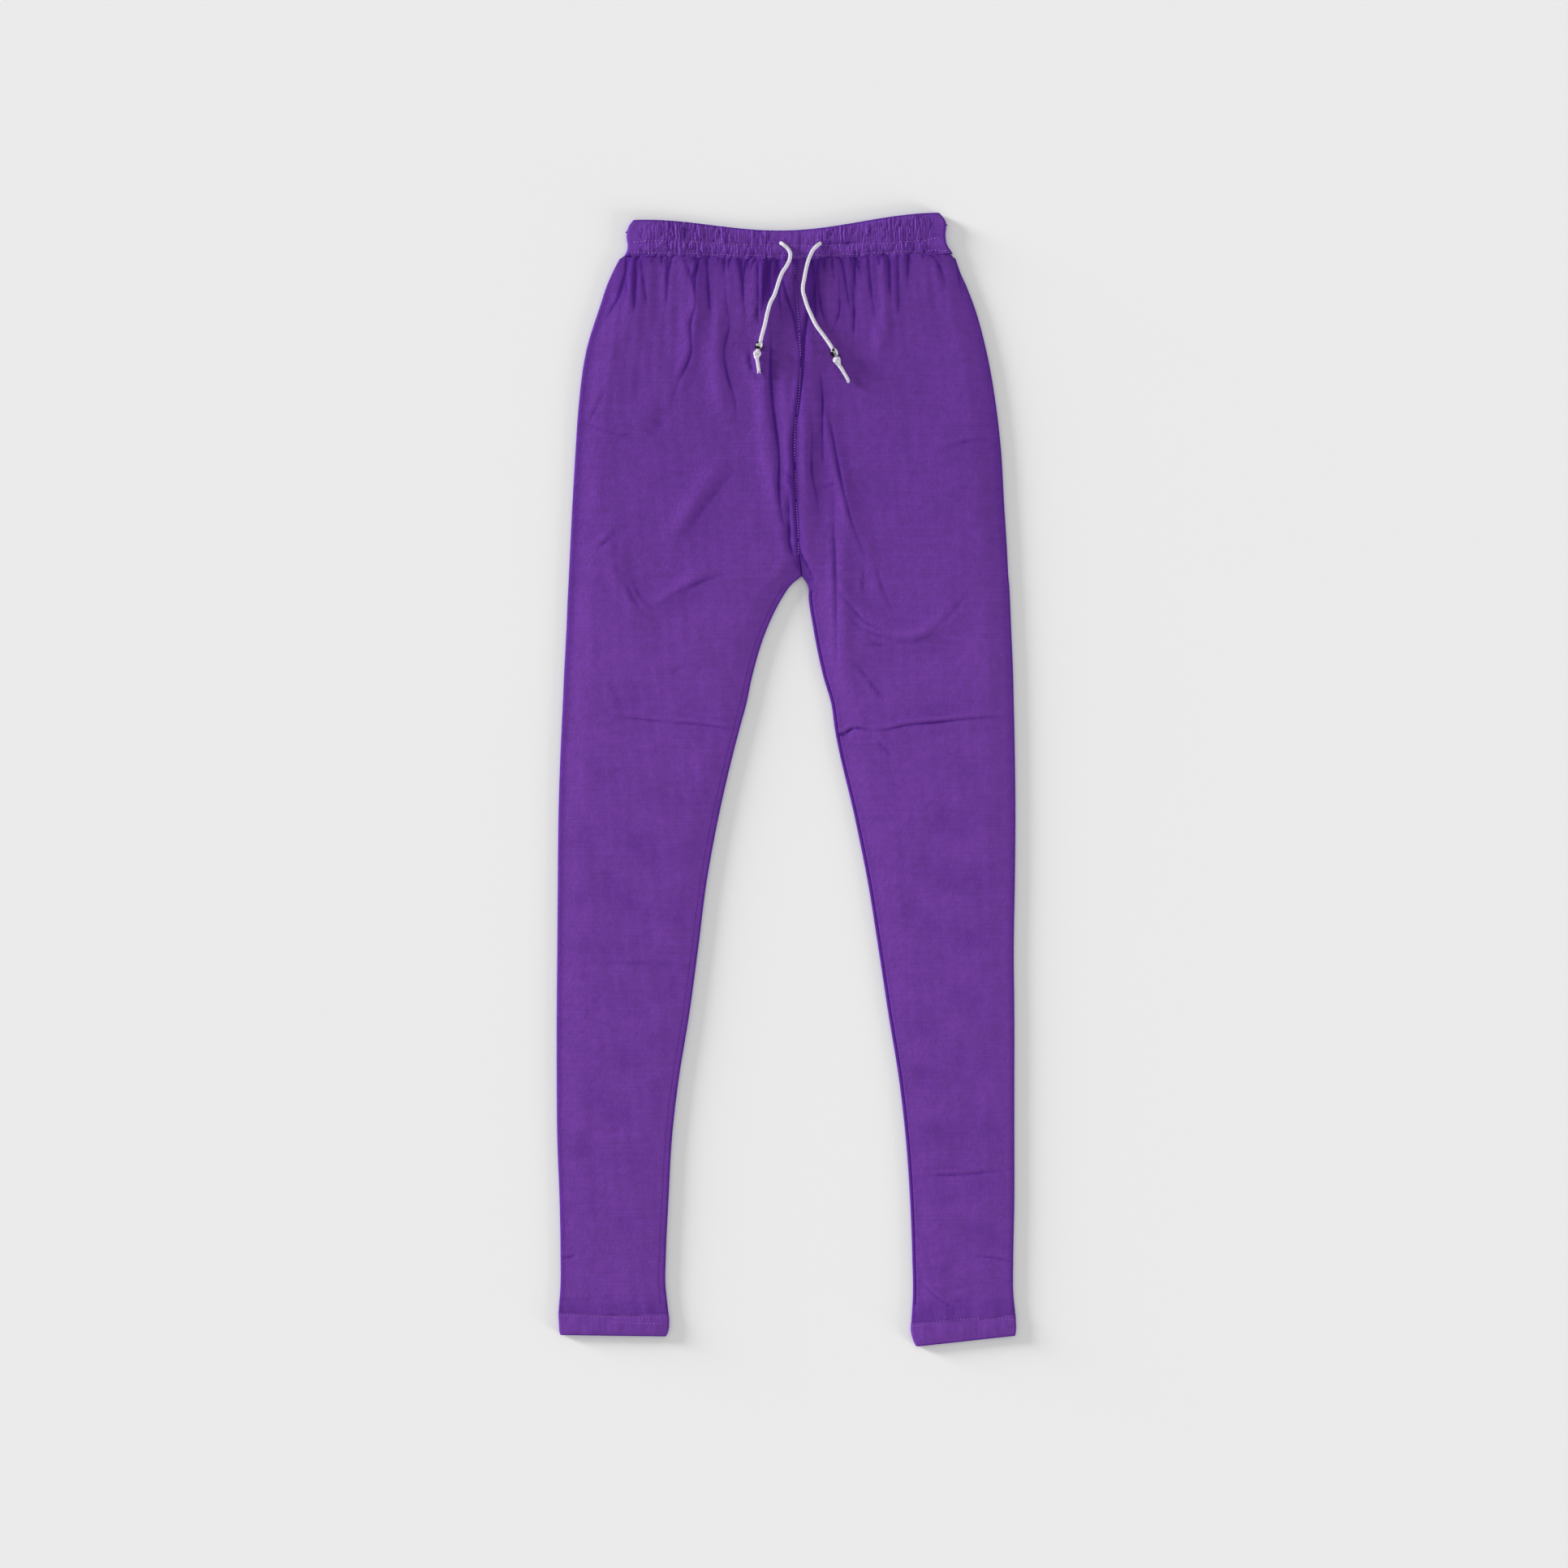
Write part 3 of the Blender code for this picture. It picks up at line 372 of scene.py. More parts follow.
# The side of the light on the plan, how strongly creases rise and sink, and how much shade is painted in
# creases, gathers, over the hips and on the rolled sides.
LIGHT_FROM = (-0.7, 0.7)
CREASE_GAIN = 0.6
FOLD_SHADE = 0.8
GATHER_SHADE = 1.5
HIP_SHADE = 0.155
HIP_SHADE_FROM_Y = 80.0
RIM_SHADE = 1.0

# Groups of gathers below the waistband: about how many, shortest, longest, shallowest and deepest.
GATHER_GROUPS = ((30, 16.0, 60.0, 0.4, 1.1), (70, 5.0, 22.0, 0.35, 1.0))
GATHERS_END_X = 146.0
GATHERED_WIDTH = 296.0

# Groups of short pinches on the waistband: lowest and highest start, and how many.
PINCH_GROUPS = ((470.0, 482.0, 90), (483.0, 502.0, 150), (478.0, 488.0, 60))
LONG_PINCHES_X = (-32.0, -29.6, -27.7, -25.4, -23.2, -20.9, -18.2, -15.8)
BAND_CREASES = (
    Crease(1.0, 1.3, 0.5, ((-94.5, 496.0), (-90.0, 495.0), (-86.5, 493.0))),
    Crease(0.9, 1.3, 0.4, ((-91.5, 494.5), (-92.0, 490.0), (-92.5, 485.5))),
    Crease(0.9, 1.0, 0.5, ((131.0, 490.0), (136.0, 490.5), (140.0, 490.0))),
    Crease(1.1, 0.8, 0.5, ((32.0, 482.5), (50.0, 483.0), (66.0, 484.0))),
    Crease(0.7, 0.5, 0.3, ((13.0, 497.0), (12.5, 484.0), (11.5, 470.0))),
)
CRINKLE_WAVES = (2.1, 2.5, 2.9, 3.4, 4.1, 5.2, 6.9, 9.5)
EYELETS = ((-3.5, 482.2), (29.0, 481.8))

# Heights on the leg, with a reach and a spacing each, where creases need closer rows of points.
CREASED_HEIGHTS = (
    (132.0, 58.0, 1.7),
    (50.0, 14.0, 1.1),
    (30.0, 10.0, 1.7),
    (-7.0, 6.0, 1.4),
    (-166.5, 4.0, 1.2),
    (-354.0, 6.0, 1.2),
    (-431.0, 6.0, 1.1),
    (-465.0, 14.0, 1.4),
)
PLAIN_ROW_SPACING = 7.0
# Runs of rows above the crotch: from, to and spacing, measured from the waistband.
UPPER_ROWS = ((0.0, 60.0, 1.2), (60.0, 150.0, 1.7))
RISE_ROWS = 68
HEM_FRONT_STEPS = 120
RING_SIDE_STEPS = 8
CORD_SIDES = 28
KNOT_SIDES = 20

# The knot's trefoil: its size across the cord, along it and up, and the radius of the cord in it.
KNOT_ACROSS = 1.55
KNOT_ALONG = 2.35
KNOT_LIFT = 0.9
KNOT_CORD_RADIUS = 1.85
# The bead's profile as radius and place along the cord, and the way that the facets with the painted
# highlight face.
BEAD_PROFILE = ((2.2, -3.0), (2.9, -3.3), (3.7, -1.1), (3.7, 1.1), (2.9, 3.3), (2.2, 3.0), (2.2, -3.0))
BEAD_HIGHLIGHT_SIDE = (0.45, 0.15, 0.88)
BEAD_EDGE = 0.22

# Stitches: how far they bow up, and how thick the rows of each kind are beside the thread's own size.
STITCH_BOW = 0.16
FINE_STITCH = 0.75
BAND_STITCH = 1.2
CENTRE_STITCH = 1.7

# The painted shade's colour: what is left of the dye's red, green and blue where the most shade is painted,
# deep in a crease or on a rolled side.
IN_SHADE = (0.44, 0.18, 0.66, 1.0)

# The stage, in metres, and the strengths of its air and backdrop.
CAMERA_HEIGHT = 3.0
SENSOR_WIDTH = 36.0
FRAME_WIDTH = 1.414
FRAME_CENTRE = (-0.0021, -0.0039)
FLOOR_HALF_WIDTH = 30.0
FLOOR_HEIGHT = -0.0003
AIR_LIGHT = 0.622
BACKDROP_LIGHT = 0.83
# Name, strength, width of the source, height above the floor and heading, in degrees.
SUNS = (("window_light", 7.7, 15.0, 7.2, 246.0), ("room_light", 1.9, 18.0, 10.0, 60.0))


def ease(value):
    """0 below 0, 1 above 1, and the S curve 3t^2 - 2t^3 between."""
    t = np.clip(value, 0.0, 1.0)
    return t * t * (3.0 - 2.0 * t)


def run_length(points):
    """Distance along a line of points, from its first."""
    steps = np.linalg.norm(np.diff(points, axis=0), axis=1)
    return np.concatenate(([0.0], np.cumsum(steps)))


def curve_through(stations, values, at):
    """Cubic curve through the values, each slope being that between its two neighbours."""
    slopes = np.gradient(values, stations, axis=0)
    low = np.clip(np.searchsorted(stations, at, side="right") - 1, 0, len(stations) - 2)
    step = (stations[low + 1] - stations[low])[:, None]
    t = (at - stations[low])[:, None] / step
    start = values[low] * (1.0 + 2.0 * t) * (1.0 - t) ** 2
    end = values[low + 1] * t * t * (3.0 - 2.0 * t)
    bend = step * t * (1.0 - t) * (slopes[low] * (1.0 - t) - slopes[low + 1] * t)
    return start + end + bend


def smooth_line(points, spacing):
    """Points at equal spacing along the cubic curve through the given ones."""
    table = np.array(points, dtype=float)
    stations = run_length(table)
    count = max(2, int(round(stations[-1] / spacing)) + 1)
    return curve_through(stations, table, np.linspace(0.0, stations[-1], count))


def bent_line(along, start, middle, end):
    """One coordinate of the quadratic curve that passes through its middle point half way."""
    control = 2.0 * middle - 0.5 * (start + end)
    return (1.0 - along) ** 2 * start + 2.0 * along * (1.0 - along) * control + along**2 * end


def nearest_on(line, x, y):
    """Signed distance from points of the plan to a line, positive on its left, and the share run there."""
    nearest = np.hypot(x[:, None] - line[:, 0], y[:, None] - line[:, 1]).argmin(axis=1)
    heading = np.gradient(line[:, :2], axis=0)
    step = np.linalg.norm(heading, axis=1, keepdims=True)
    heading = (heading / step)[nearest]
    off_x = x - line[nearest, 0]
    off_y = y - line[nearest, 1]
    across = heading[:, 0] * off_y - heading[:, 1] * off_x
    along = heading[:, 0] * off_x + heading[:, 1] * off_y
    past_end = np.maximum(np.abs(along) - 0.6 * step[nearest, 0], 0.0)
    share = np.clip((nearest + along / step[nearest, 0]) / (len(line) - 1), 0.0, 1.0)
    return np.where(across >= 0.0, 1.0, -1.0) * np.hypot(across, past_end), share


def near_mask(line, x, y, reach):
    """Which points of the plan lie in the box round a line, widened by reach."""
    low = line[:, :2].min(axis=0) - reach
    high = line[:, :2].max(axis=0) + reach
    return (x > low[0]) & (x < high[0]) & (y > low[1]) & (y < high[1])


def fold_height(x, y, fold):
    """A soft ridge of Gaussian section along a bent line, tapering to nothing at its ends."""
    along = np.linspace(0.0, 1.0, 41)
    line = np.column_stack((bent_line(along, *fold[0:6:2]), bent_line(along, *fold[1:6:2])))
    height = np.zeros(x.shape)
    near = near_mask(line, x, y, 3.0 * fold.width)
    away, share = nearest_on(line, x[near], y[near])
    taper = np.sin(math.pi * (0.04 + 0.92 * share)) ** 0.6
    height[near] = fold.rise * taper * np.exp(-((away / fold.width) ** 2))
    return height


def crease_marks(x, y, crease):
    """Height and painted shade of a crease: a trough exp(-(d/w)^2) with a soft ridge beside it, towards the
    light.

    d is the signed distance from the crease's line and w its width. Its depth swells and fades along it.
    """
    line = smooth_line(crease.path, 1.2)
    run = line[-1] - line[0]
    towards_light = 1.0 if -run[1] * LIGHT_FROM[0] + run[0] * LIGHT_FROM[1] > 0.0 else -1.0
    height = np.zeros(x.shape)
    shade = np.zeros(x.shape)
    near = near_mask(line, x, y, 9.0 * crease.width)
    away, share = nearest_on(line, x[near], y[near])
    taper = np.sin(math.pi * (0.02 + 0.96 * share)) ** 0.8
    swell = 1.0 + 0.25 * np.sin(9.0 * share + line[0, 0]) + 0.2 * np.sin(23.0 * share + line[0, 1])
    away = away * towards_light / crease.width
    trough = 0.6 * np.exp(-(away**2)) + 0.4 * np.exp(-((away / 3.0) ** 2))
    ridge = np.exp(-(((away - 3.2) / np.where(away > 3.2, 3.2, 1.8)) ** 2))
    height[near] = taper * swell * CREASE_GAIN * (crease.ridge * ridge - crease.depth * trough)
    # Painted shade: a thin dark line on the crease and a faint wide one beside it.
    dark = np.exp(-(away**2)) + 0.17 * np.exp(-(((away - 0.8) / 3.2) ** 2))
    shade[near] = taper * swell * crease.depth * min(1.0, 1.2 / crease.width) ** 2 * dark
    return height, shade


def ripple(x, y, size, length, count, seed):
    """Sum of plane waves of random heading, each about as long as given, scaled to size."""
    draw = np.random.default_rng(seed)
    heading = draw.uniform(0.0, 2.0 * math.pi, count)
    long = length * draw.uniform(0.7, 1.5, count)
    shift = draw.uniform(0.0, 2.0 * math.pi, count)
    total = np.zeros(x.shape)
    for turn, wave, start in zip(heading, long, shift):
        total += np.sin(2.0 * math.pi * (x * math.cos(turn) + y * math.sin(turn)) / wave + start)
    return size * total / math.sqrt(count)


def band_bottom(x):
    """The waistband's lower edge on the plan at each x."""
    row = BAND_ROWS[-1]
    t = np.clip((x - row.left_x) / (row.right_x - row.left_x), 0.0, 1.0)
    return row.left_y + (row.right_y - row.left_y) * t - row.sag * np.sin(math.pi * t) ** 2


def waist_gathers():
    """Uneven gathers that run down from the waistband and fan out, each of its own length and depth."""
    draw = np.random.default_rng(seed=11)
    gathers = []
    for count, shortest, longest, shallow, deep in GATHER_GROUPS:
        place = -GATHERS_END_X
        while place < GATHERS_END_X:
            place += draw.uniform(0.3, 1.7) * GATHERED_WIDTH / count
            top = float(band_bottom(np.array(place)))
            long = draw.uniform(shortest, longest)
            lean = 0.25 * place / 150.0 + draw.normal(0.0, 0.13)
            bow = draw.normal(0.0, 0.05) * long
            path = (
                (place, top + 6.0),
                (place + 0.4 * lean * long + bow, top - 0.4 * long),
                (place + lean * long, top - long),
            )
            gathers.append(Crease(
                width=draw.uniform(0.7, 1.3),
                depth=draw.uniform(shallow, deep),
                ridge=draw.uniform(0.2, 0.6),
                path=path,
            ))
    return gathers


def waist_flutes(x, y):
    """Soft flutes that hang from the waistband and die out towards the thigh as exp(-(fall/reach)^2)."""
    fall = band_bottom(x) - y
    spread = x * (1.0 - 0.0009 * fall)
    flutes = ripple(spread, 0.1 * y, size=0.3, length=24.0, count=6, seed=41)
    flutes += ripple(spread, 0.2 * y, size=0.12, length=9.0, count=7, seed=43)
    reach = 95.0 + 35.0 * np.sin(x / 31.0)
    return flutes * np.exp(-((fall / reach) ** 2))


def cloth_height(x, y, from_edge):
    """Height and painted shade of a leg's front: a low puff, broad folds, gathers, creases and faint
    unevenness, with shade painted over the hips, in gathers, creases and inseam grooves.
    """
    up_the_leg = ease((y - PUFF_ANKLE_Y) / (PUFF_HIP_Y - PUFF_ANKLE_Y))
    relief = (ANKLE_PUFF + (HIP_PUFF - ANKLE_PUFF) * up_the_leg) * np.ones(x.shape)
    shade = HIP_SHADE * ease((y - HIP_SHADE_FROM_Y) / (PUFF_HIP_Y - HIP_SHADE_FROM_Y))
    for fold in BROAD_FOLDS:
        relief += fold_height(x, y, fold)
    for crease in waist_gathers():
        rise, dark = crease_marks(x, y, crease)
        relief += rise
        shade += GATHER_SHADE * dark
    relief += waist_flutes(x, y)
    relief += ripple(x, y, size=0.16, length=46.0, count=9, seed=3)
    relief += ripple(x, 0.45 * y, size=0.05, length=13.0, count=9, seed=5)
    relief += ripple(0.25 * x, y, size=0.06, length=9.0, count=7, seed=8) * (1.0 - up_the_leg)
    height = relief * ease(from_edge / PUFF_EDGE)
    for crease in CREASES:
        rise, dark = crease_marks(x, y, crease)
        height += rise * ease(from_edge / 3.0)
        shade += FOLD_SHADE * dark
    for leg in LEGS:
        path = inseam_path(leg, leg.inseam.groove_inset)
        seam = np.interp(y, path[::-1, 1], path[::-1, 0], left=1e3, right=1e3)
        groove = leg.inseam.groove_depth * np.exp(-(((x - seam) / 0.9) ** 2))
        height -= groove
        # Shade painted into the inseam's groove.
        shade += 1.2 * groove
    return press_under_cords(x, y, CLOTH_HEIGHT + height), shade


def press_under_cords(x, y, height):
    """Lowers the cloth where a cord lies on it, to the cord's underside, rising again within the cord bed."""
    for string in DRAWSTRINGS:
        for points in (string.route, string.tail):
            line = smooth_line(points, 1.0)
            near = near_mask(line, x, y, CORD_BED)
            away, share = nearest_on(line, x[near], y[near])
            under = np.interp(share, np.linspace(0.0, 1.0, len(line)), line[:, 2]) - CORD_RADIUS - 0.1
            room = under + CORD_BED_RISE * ease((np.abs(away) - 0.8) / CORD_BED)
            height[near] = np.minimum(height[near], room)
    return height


def add_mesh(name, points, faces, uv=None):
    """A smooth mesh object at the origin from points in metres and faces, with its UV map by face corner."""
    mesh = bpy.data.meshes.new(name)
    mesh.from_pydata(points.tolist(), [], faces)
    if uv is not None:
        mesh.uv_layers.new(name="cloth")
        mesh.uv_layers["cloth"].data.foreach_set("uv", np.ascontiguousarray(uv, dtype=np.float32).ravel())
    mesh.polygons.foreach_set("use_smooth", np.full(len(mesh.polygons), True))
    mesh.update()
    piece = bpy.data.objects.new(name, mesh)
    bpy.context.scene.collection.objects.link(piece)
    return piece


def grid_mean(values, reach):
    """Mean of a grid's values over a square of neighbours."""
    for axis in (0, 1):
        values = sum(np.roll(values, step, axis=axis) for step in range(-reach, reach + 1)) / (2 * reach + 1)
    return values


def add_attribute(piece, name, domain, values):
    """Stores one number for each point or each face of a mesh."""
    layer = piece.data.attributes.new(name, "FLOAT", domain)
    layer.data.foreach_set("value", values.astype(np.float32))


def painted_shade_map(points, shade, bunched=1.7):
    """Shade painted into the cloth: its creases' painted shade, and darkening where it lies below its
    neighbours and where it is bunched.
    """
    height = points[..., 2]
    low = np.clip((grid_mean(height, 3) - height) / 0.7, -0.4, 1.0)
    low[:3] = 0.0
    low[-3:] = 0.0
    return 0.7 * low + shade + bunched * grid_mean(np.clip(low, 0.0, 1.0) + 0.5 * shade, 9)


def grid_piece(name, points, wrapped=True, flip=False, wrap_rows=False, poles=False, hollow=None):
    """A mesh from a grid of points: rows by columns by xyz, in millimetres.

    wrapped says, for all rows or for each, whether the last point is the first. wrap_rows joins the last row
    to the first. With poles, the first row and the last are each one point. flip turns the faces over.
    """
    rows, columns = points.shape[:2]
    uv = grid_uv(points)
    index = np.arange(rows * columns).reshape(rows, columns)
    index[:, -1] = np.where(wrapped, index[:, 0], index[:, -1])
    if wrap_rows:
        index[-1] = index[0]
    if poles:
        index[0] = index[0, 0]
        index[-1] = index[-1, 0]
    corners = [(0, 0), (0, 1), (1, 1), (1, 0)]
    spans = [(slice(r, r - 1 or None), slice(c, c - 1 or None)) for r, c in corners]
    faces = np.stack([index[span] for span in spans], axis=-1)
    corner_uv = np.stack([uv[span] for span in spans], axis=2)
    used, packed = np.unique(faces, return_inverse=True)
    faces = packed.reshape(faces.shape)
    if poles:
        groups = ((slice(0, 1), (0, 2, 3)), (slice(1, -1), (0, 1, 2, 3)), (slice(-1, None), (0, 1, 2)))
    else:
        groups = ((slice(None), (0, 1, 2, 3)),)
    polygons = []
    polygon_uv = []
    for span, kept in groups:
        kept = kept[::-1] if flip else kept
        polygons += faces[span][..., kept].reshape(-1, len(kept)).tolist()
        polygon_uv.append(corner_uv[span][:, :, kept].reshape(-1, 2))
    piece = add_mesh(name, points.reshape(-1, 3)[used] * MM, polygons, np.concatenate(polygon_uv) * MM)
    # Painted shade, stored with each point for the material to darken the dye by.
    if hollow is not None:
        add_attribute(piece, "hollow", "POINT", hollow.ravel()[used])
    return piece


def grid_uv(points):
    """UV of a grid in millimetres: distance round each row across, distance down the first column along."""
    across = np.linalg.norm(np.diff(points, axis=1), axis=2).cumsum(axis=1)
    across = np.pad(across, ((0, 0), (1, 0)))
    along = np.repeat(run_length(points[:, points.shape[1] // 4])[:, None], points.shape[1], axis=1)
    return np.stack((across, along), axis=-1)


def leg_ends(leg):
    """Outer and inner end of every row of a leg, and which rows are closed tubes: those from the crotch down.

    Rows are spaced along the inner edge, closer by exp(-(d/reach)^4) round each creased height.
    """
    table = np.array(leg.sections, dtype=float)
    stations = run_length(table[:, 2:])
    crotch = stations[CROTCH]
    upper_at = [np.arange(*run) for run in UPPER_ROWS]
    upper_at = np.concatenate((*upper_at, np.linspace(UPPER_ROWS[-1][1], crotch, RISE_ROWS)))
    below = np.linspace(crotch, stations[-1], 4000)
    height_there = np.interp(below, stations, table[:, 3])
    apart = np.full(below.shape, PLAIN_ROW_SPACING)
    for at, reach, close in CREASED_HEIGHTS:
        zone = np.exp(-(((height_there - at) / reach) ** 4))
        apart = np.minimum(apart, PLAIN_ROW_SPACING + (close - PLAIN_ROW_SPACING) * zone)
    count = np.concatenate(([0.0], np.cumsum(np.diff(below) / apart[1:])))
    lower_at = np.interp(np.linspace(0.0, count[-1], int(count[-1]) + 1), count, below)[1:]
    upper = curve_through(stations[:CROTCH + 1], table[:CROTCH + 1], upper_at)
    lower = curve_through(stations[CROTCH:], table[CROTCH:], lower_at)
    closed = np.arange(len(upper) + len(lower)) >= len(upper) - 1
    return np.vstack((upper, lower)), closed


def leg_grid(leg, front_steps=226, fold_steps=6, back_steps=10, edge_steps=4):
    """Points of a leg: each row runs along the inner edge's roll, the front, the outer fold and the back.

    The front is the straight line between the leg's edges, raised by cloth_height. The outer fold is half a
    circle. The inner edge is a quarter circle above and one below: a seam's roll above the crotch, a fold
    below it. The seam slants to the right as it goes down, so that no floor shows through it from above.
    """
    ends, closed = leg_ends(leg)
    outer = ends[:, None, :2]
    inner = ends[:, None, 2:].copy()
    inner[..., 0] += leg.side * SEAM_HALF_GAP
    along = (outer - inner) / np.linalg.norm(outer - inner, axis=2, keepdims=True)
    radius = 0.5 * CLOTH_HEIGHT
    open_share = np.where(closed, 0.0, ease((ends[:, 3] - CENTRE_SEAM[-1][1]) / CROTCH_BLEND))[:, None]
    roll = (radius + (SEAM_ROLL - radius) * open_share)[..., None]
    front_start = inner + along * roll
    front_end = outer - along * radius
    share = np.linspace(0.0, 1.0, front_steps + 1)
    share = (share * (0.8 + 0.2 * share))[None, :, None]
    front = front_start + (front_end - front_start) * share
    back = front_start + (front_end - front_start) * np.linspace(1.0, 0.0, back_steps + 1)[None, :, None]
    rise = np.linspace(0.0, 0.5 * math.pi, edge_steps + 1)
    edge = inner + along * roll * (1.0 - np.cos(rise))[None, :, None]
    slant = np.array((SEAM_SLANT, 0.0)) * ease(6.0 * open_share)[..., None]
    turn = np.linspace(0.5 * math.pi, -0.5 * math.pi, fold_steps + 1)
    fold = front_end + along * radius * np.cos(turn)[None, :, None]

    top, dark = front_top(front, outer, inner, open_share)
    edge_top = top[:, :1] - roll[..., 0] * (1.0 - np.sin(rise))[None, :]
    fold_top = np.broadcast_to(radius + radius * np.sin(turn), fold.shape[:2])
    under = ripple(back[..., 0], back[..., 1], size=0.15, length=70.0, count=7, seed=21)
    under = np.clip(under, 0.0, 0.5) * np.sin(math.pi * np.linspace(0.0, 1.0, back_steps + 1))[None, :]
    edge_under = roll[..., 0] * (1.0 - np.sin(rise[::-1]))[None, :]
    plan = np.concatenate((edge, front[:, 1:], fold[:, 1:], back[:, 1:], edge[:, -2::-1] + slant), axis=1)
    height = np.concatenate((edge_top, top[:, 1:], fold_top[:, 1:], under[:, 1:], edge_under[:, 1:]), axis=1)
    top_share = 1.0 - ease((ends[0, 3] - ends[:, 3]) / TOP_LINE_BLEND)
    plan = follow_band(plan, outer, top_share[:, None])
    # Shade painted on the rolled sides; the front takes the creases' painted shade.
    shade = np.full(height.shape, RIM_SHADE)
    shade[:, edge_steps:edge_steps + front_steps + 1] = dark
    return tucked_top(np.concatenate((plan, height[..., None]), axis=2), closed, shade)


def tucked_top(points, closed, shade):
    """Adds the rows that run up into the waistband, so that no open end shows beside it."""
    tucked = []
    for rise, narrower, lower in TUCKED_ROWS:
        row = points[0] * (narrower, 1.0, lower) + (0.0, rise, 0.25)
        row[:, 2] = row[:, 2].clip(0.25, 0.9 * BAND_HEIGHT)
        tucked.append(row)
    added = len(tucked)
    return (
        np.concatenate((tucked, points)),
        np.pad(closed, (added, 0)),
        np.pad(shade, ((added, 0), (0, 0)), mode="edge"),
    )


def follow_band(plan, outer, share):
    """Bends the rows near the waist to follow the waistband's lower edge."""
    from_end = np.linalg.norm(plan - outer, axis=2)
    moved = plan.copy()
    up = band_bottom(plan[..., 0]) - plan[..., 1] + TOP_LINE_OVERLAP
    moved[..., 1] += up * share * ease(from_end / SHOULDER_ROUND)
    return moved


def front_top(front, outer, inner, open_share):
    """Height and painted shade of every point of the front, tucked down at the waist seam, with shade painted
    at the outer rim and in the tuck.
    """
    from_outer = np.linalg.norm(front - outer, axis=2)
    from_inner = np.linalg.norm(front - inner, axis=2) + open_share * PUFF_EDGE
    from_edge = np.minimum(from_outer, from_inner)
    x = front[..., 0]
    y = front[..., 1]
    height, shade = (part.reshape(x.shape) for part in cloth_height(x.ravel(), y.ravel(), from_edge.ravel()))
    from_waist = (y[0] - y).clip(0.0)
    tuck = WAIST_TUCK * (1.0 - ease(from_waist / 1.5)) * ease(from_outer / 5.0)
    at_rim = np.exp(-((from_outer / 1.6) ** 2))
    return height - tuck, shade + tuck + 0.6 * RIM_SHADE * at_rim


def make_leg(leg, material):
    """One leg of jersey, with shade painted darker in its creases and at its rolled sides."""
    points, closed, shade = leg_grid(leg)
    dark = painted_shade_map(points, shade)
    piece = grid_piece(f"{leg.name}_leg_jersey", points, closed, flip=leg.side > 0.0, hollow=dark)
    finish_piece(piece, material, "jersey", f"leg_{leg.name}")


def finish_piece(piece, material, slot, *nodes):
    """Gives a piece its material and its CAD body, and hides the CAD nodes that it stands for. slot is not
    used.
    """
    piece.data.materials.append(material)
    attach(piece, "root")
    if nodes:
        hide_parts(*nodes)


def middle_stitch_y(x):
    """The wavering row of stitching along the middle of the waistband."""
    row = np.interp(x, MIDDLE_STITCHES_X, MIDDLE_STITCHES_Y)
    return row + 0.55 * np.sin(x / 5.1) + 0.4 * np.sin(x / 2.3 + 1.0)


def lower_stitch_y(x):
    """The wavering row of stitching just above the waistband's lower edge."""
    return band_bottom(x) + 2.6 + 0.5 * np.sin(x / 4.3 + 2.0) + 0.35 * np.sin(x / 1.9)


def band_pinches():
    """Short upright pinches scattered over the gathered band, thickest where it is most bunched."""
    draw = np.random.default_rng(seed=29)
    pinches = []
    for low, high, count in PINCH_GROUPS:
        places = draw.uniform(-138.0, 139.0, count), draw.random(count), draw.uniform(2.5, 7.5, count)
        for x, at, long in zip(*places):
            sag = float(band_bottom(np.array(x))) - 471.0
            y = low + (high - low) * at + sag + (0.02 * (x + 138.0) if high > 490.0 else 0.0)
            lean = draw.normal(0.0, 0.4)
            path = ((x, y), (x + 0.5 * lean, y - 0.5 * long), (x + lean, y - long))
            pinches.append(Crease(draw.uniform(0.5, 0.85), draw.uniform(0.25, 0.9), 0.3, path))
    for x in LONG_PINCHES_X:
        path = ((x, 491.0), (x + draw.normal(0.0, 0.4), 478.0), (x + draw.normal(0.0, 0.5), 462.0))
        pinches.append(Crease(0.7, draw.uniform(0.5, 0.9), 0.3, path))
    return pinches


def band_crinkle(x, y, middle):
    """Fine crinkles: the size of a sum of uneven waves along the waist, whose places drift down the band."""
    below = 1.0 + ease((middle + 1.5 - y) / 3.0)
    draw = np.random.default_rng(seed=5)
    total = np.zeros(x.shape)
    for wave in CRINKLE_WAVES:
        shift, drift, kink = draw.uniform(0.0, 6.28), draw.normal(0.0, 0.05), draw.uniform(0.0, 1.6)
        bend = 0.3 * np.sin(0.31 * y + shift) + 0.15 * np.sin(0.9 * y + x / 11.0)
        phase = 2.0 * math.pi * (x + drift * y + bend) / wave + shift + kink * below
        total += draw.uniform(0.6, 1.1) * np.sin(phase)
    return np.abs(total / 2.4) ** 0.8


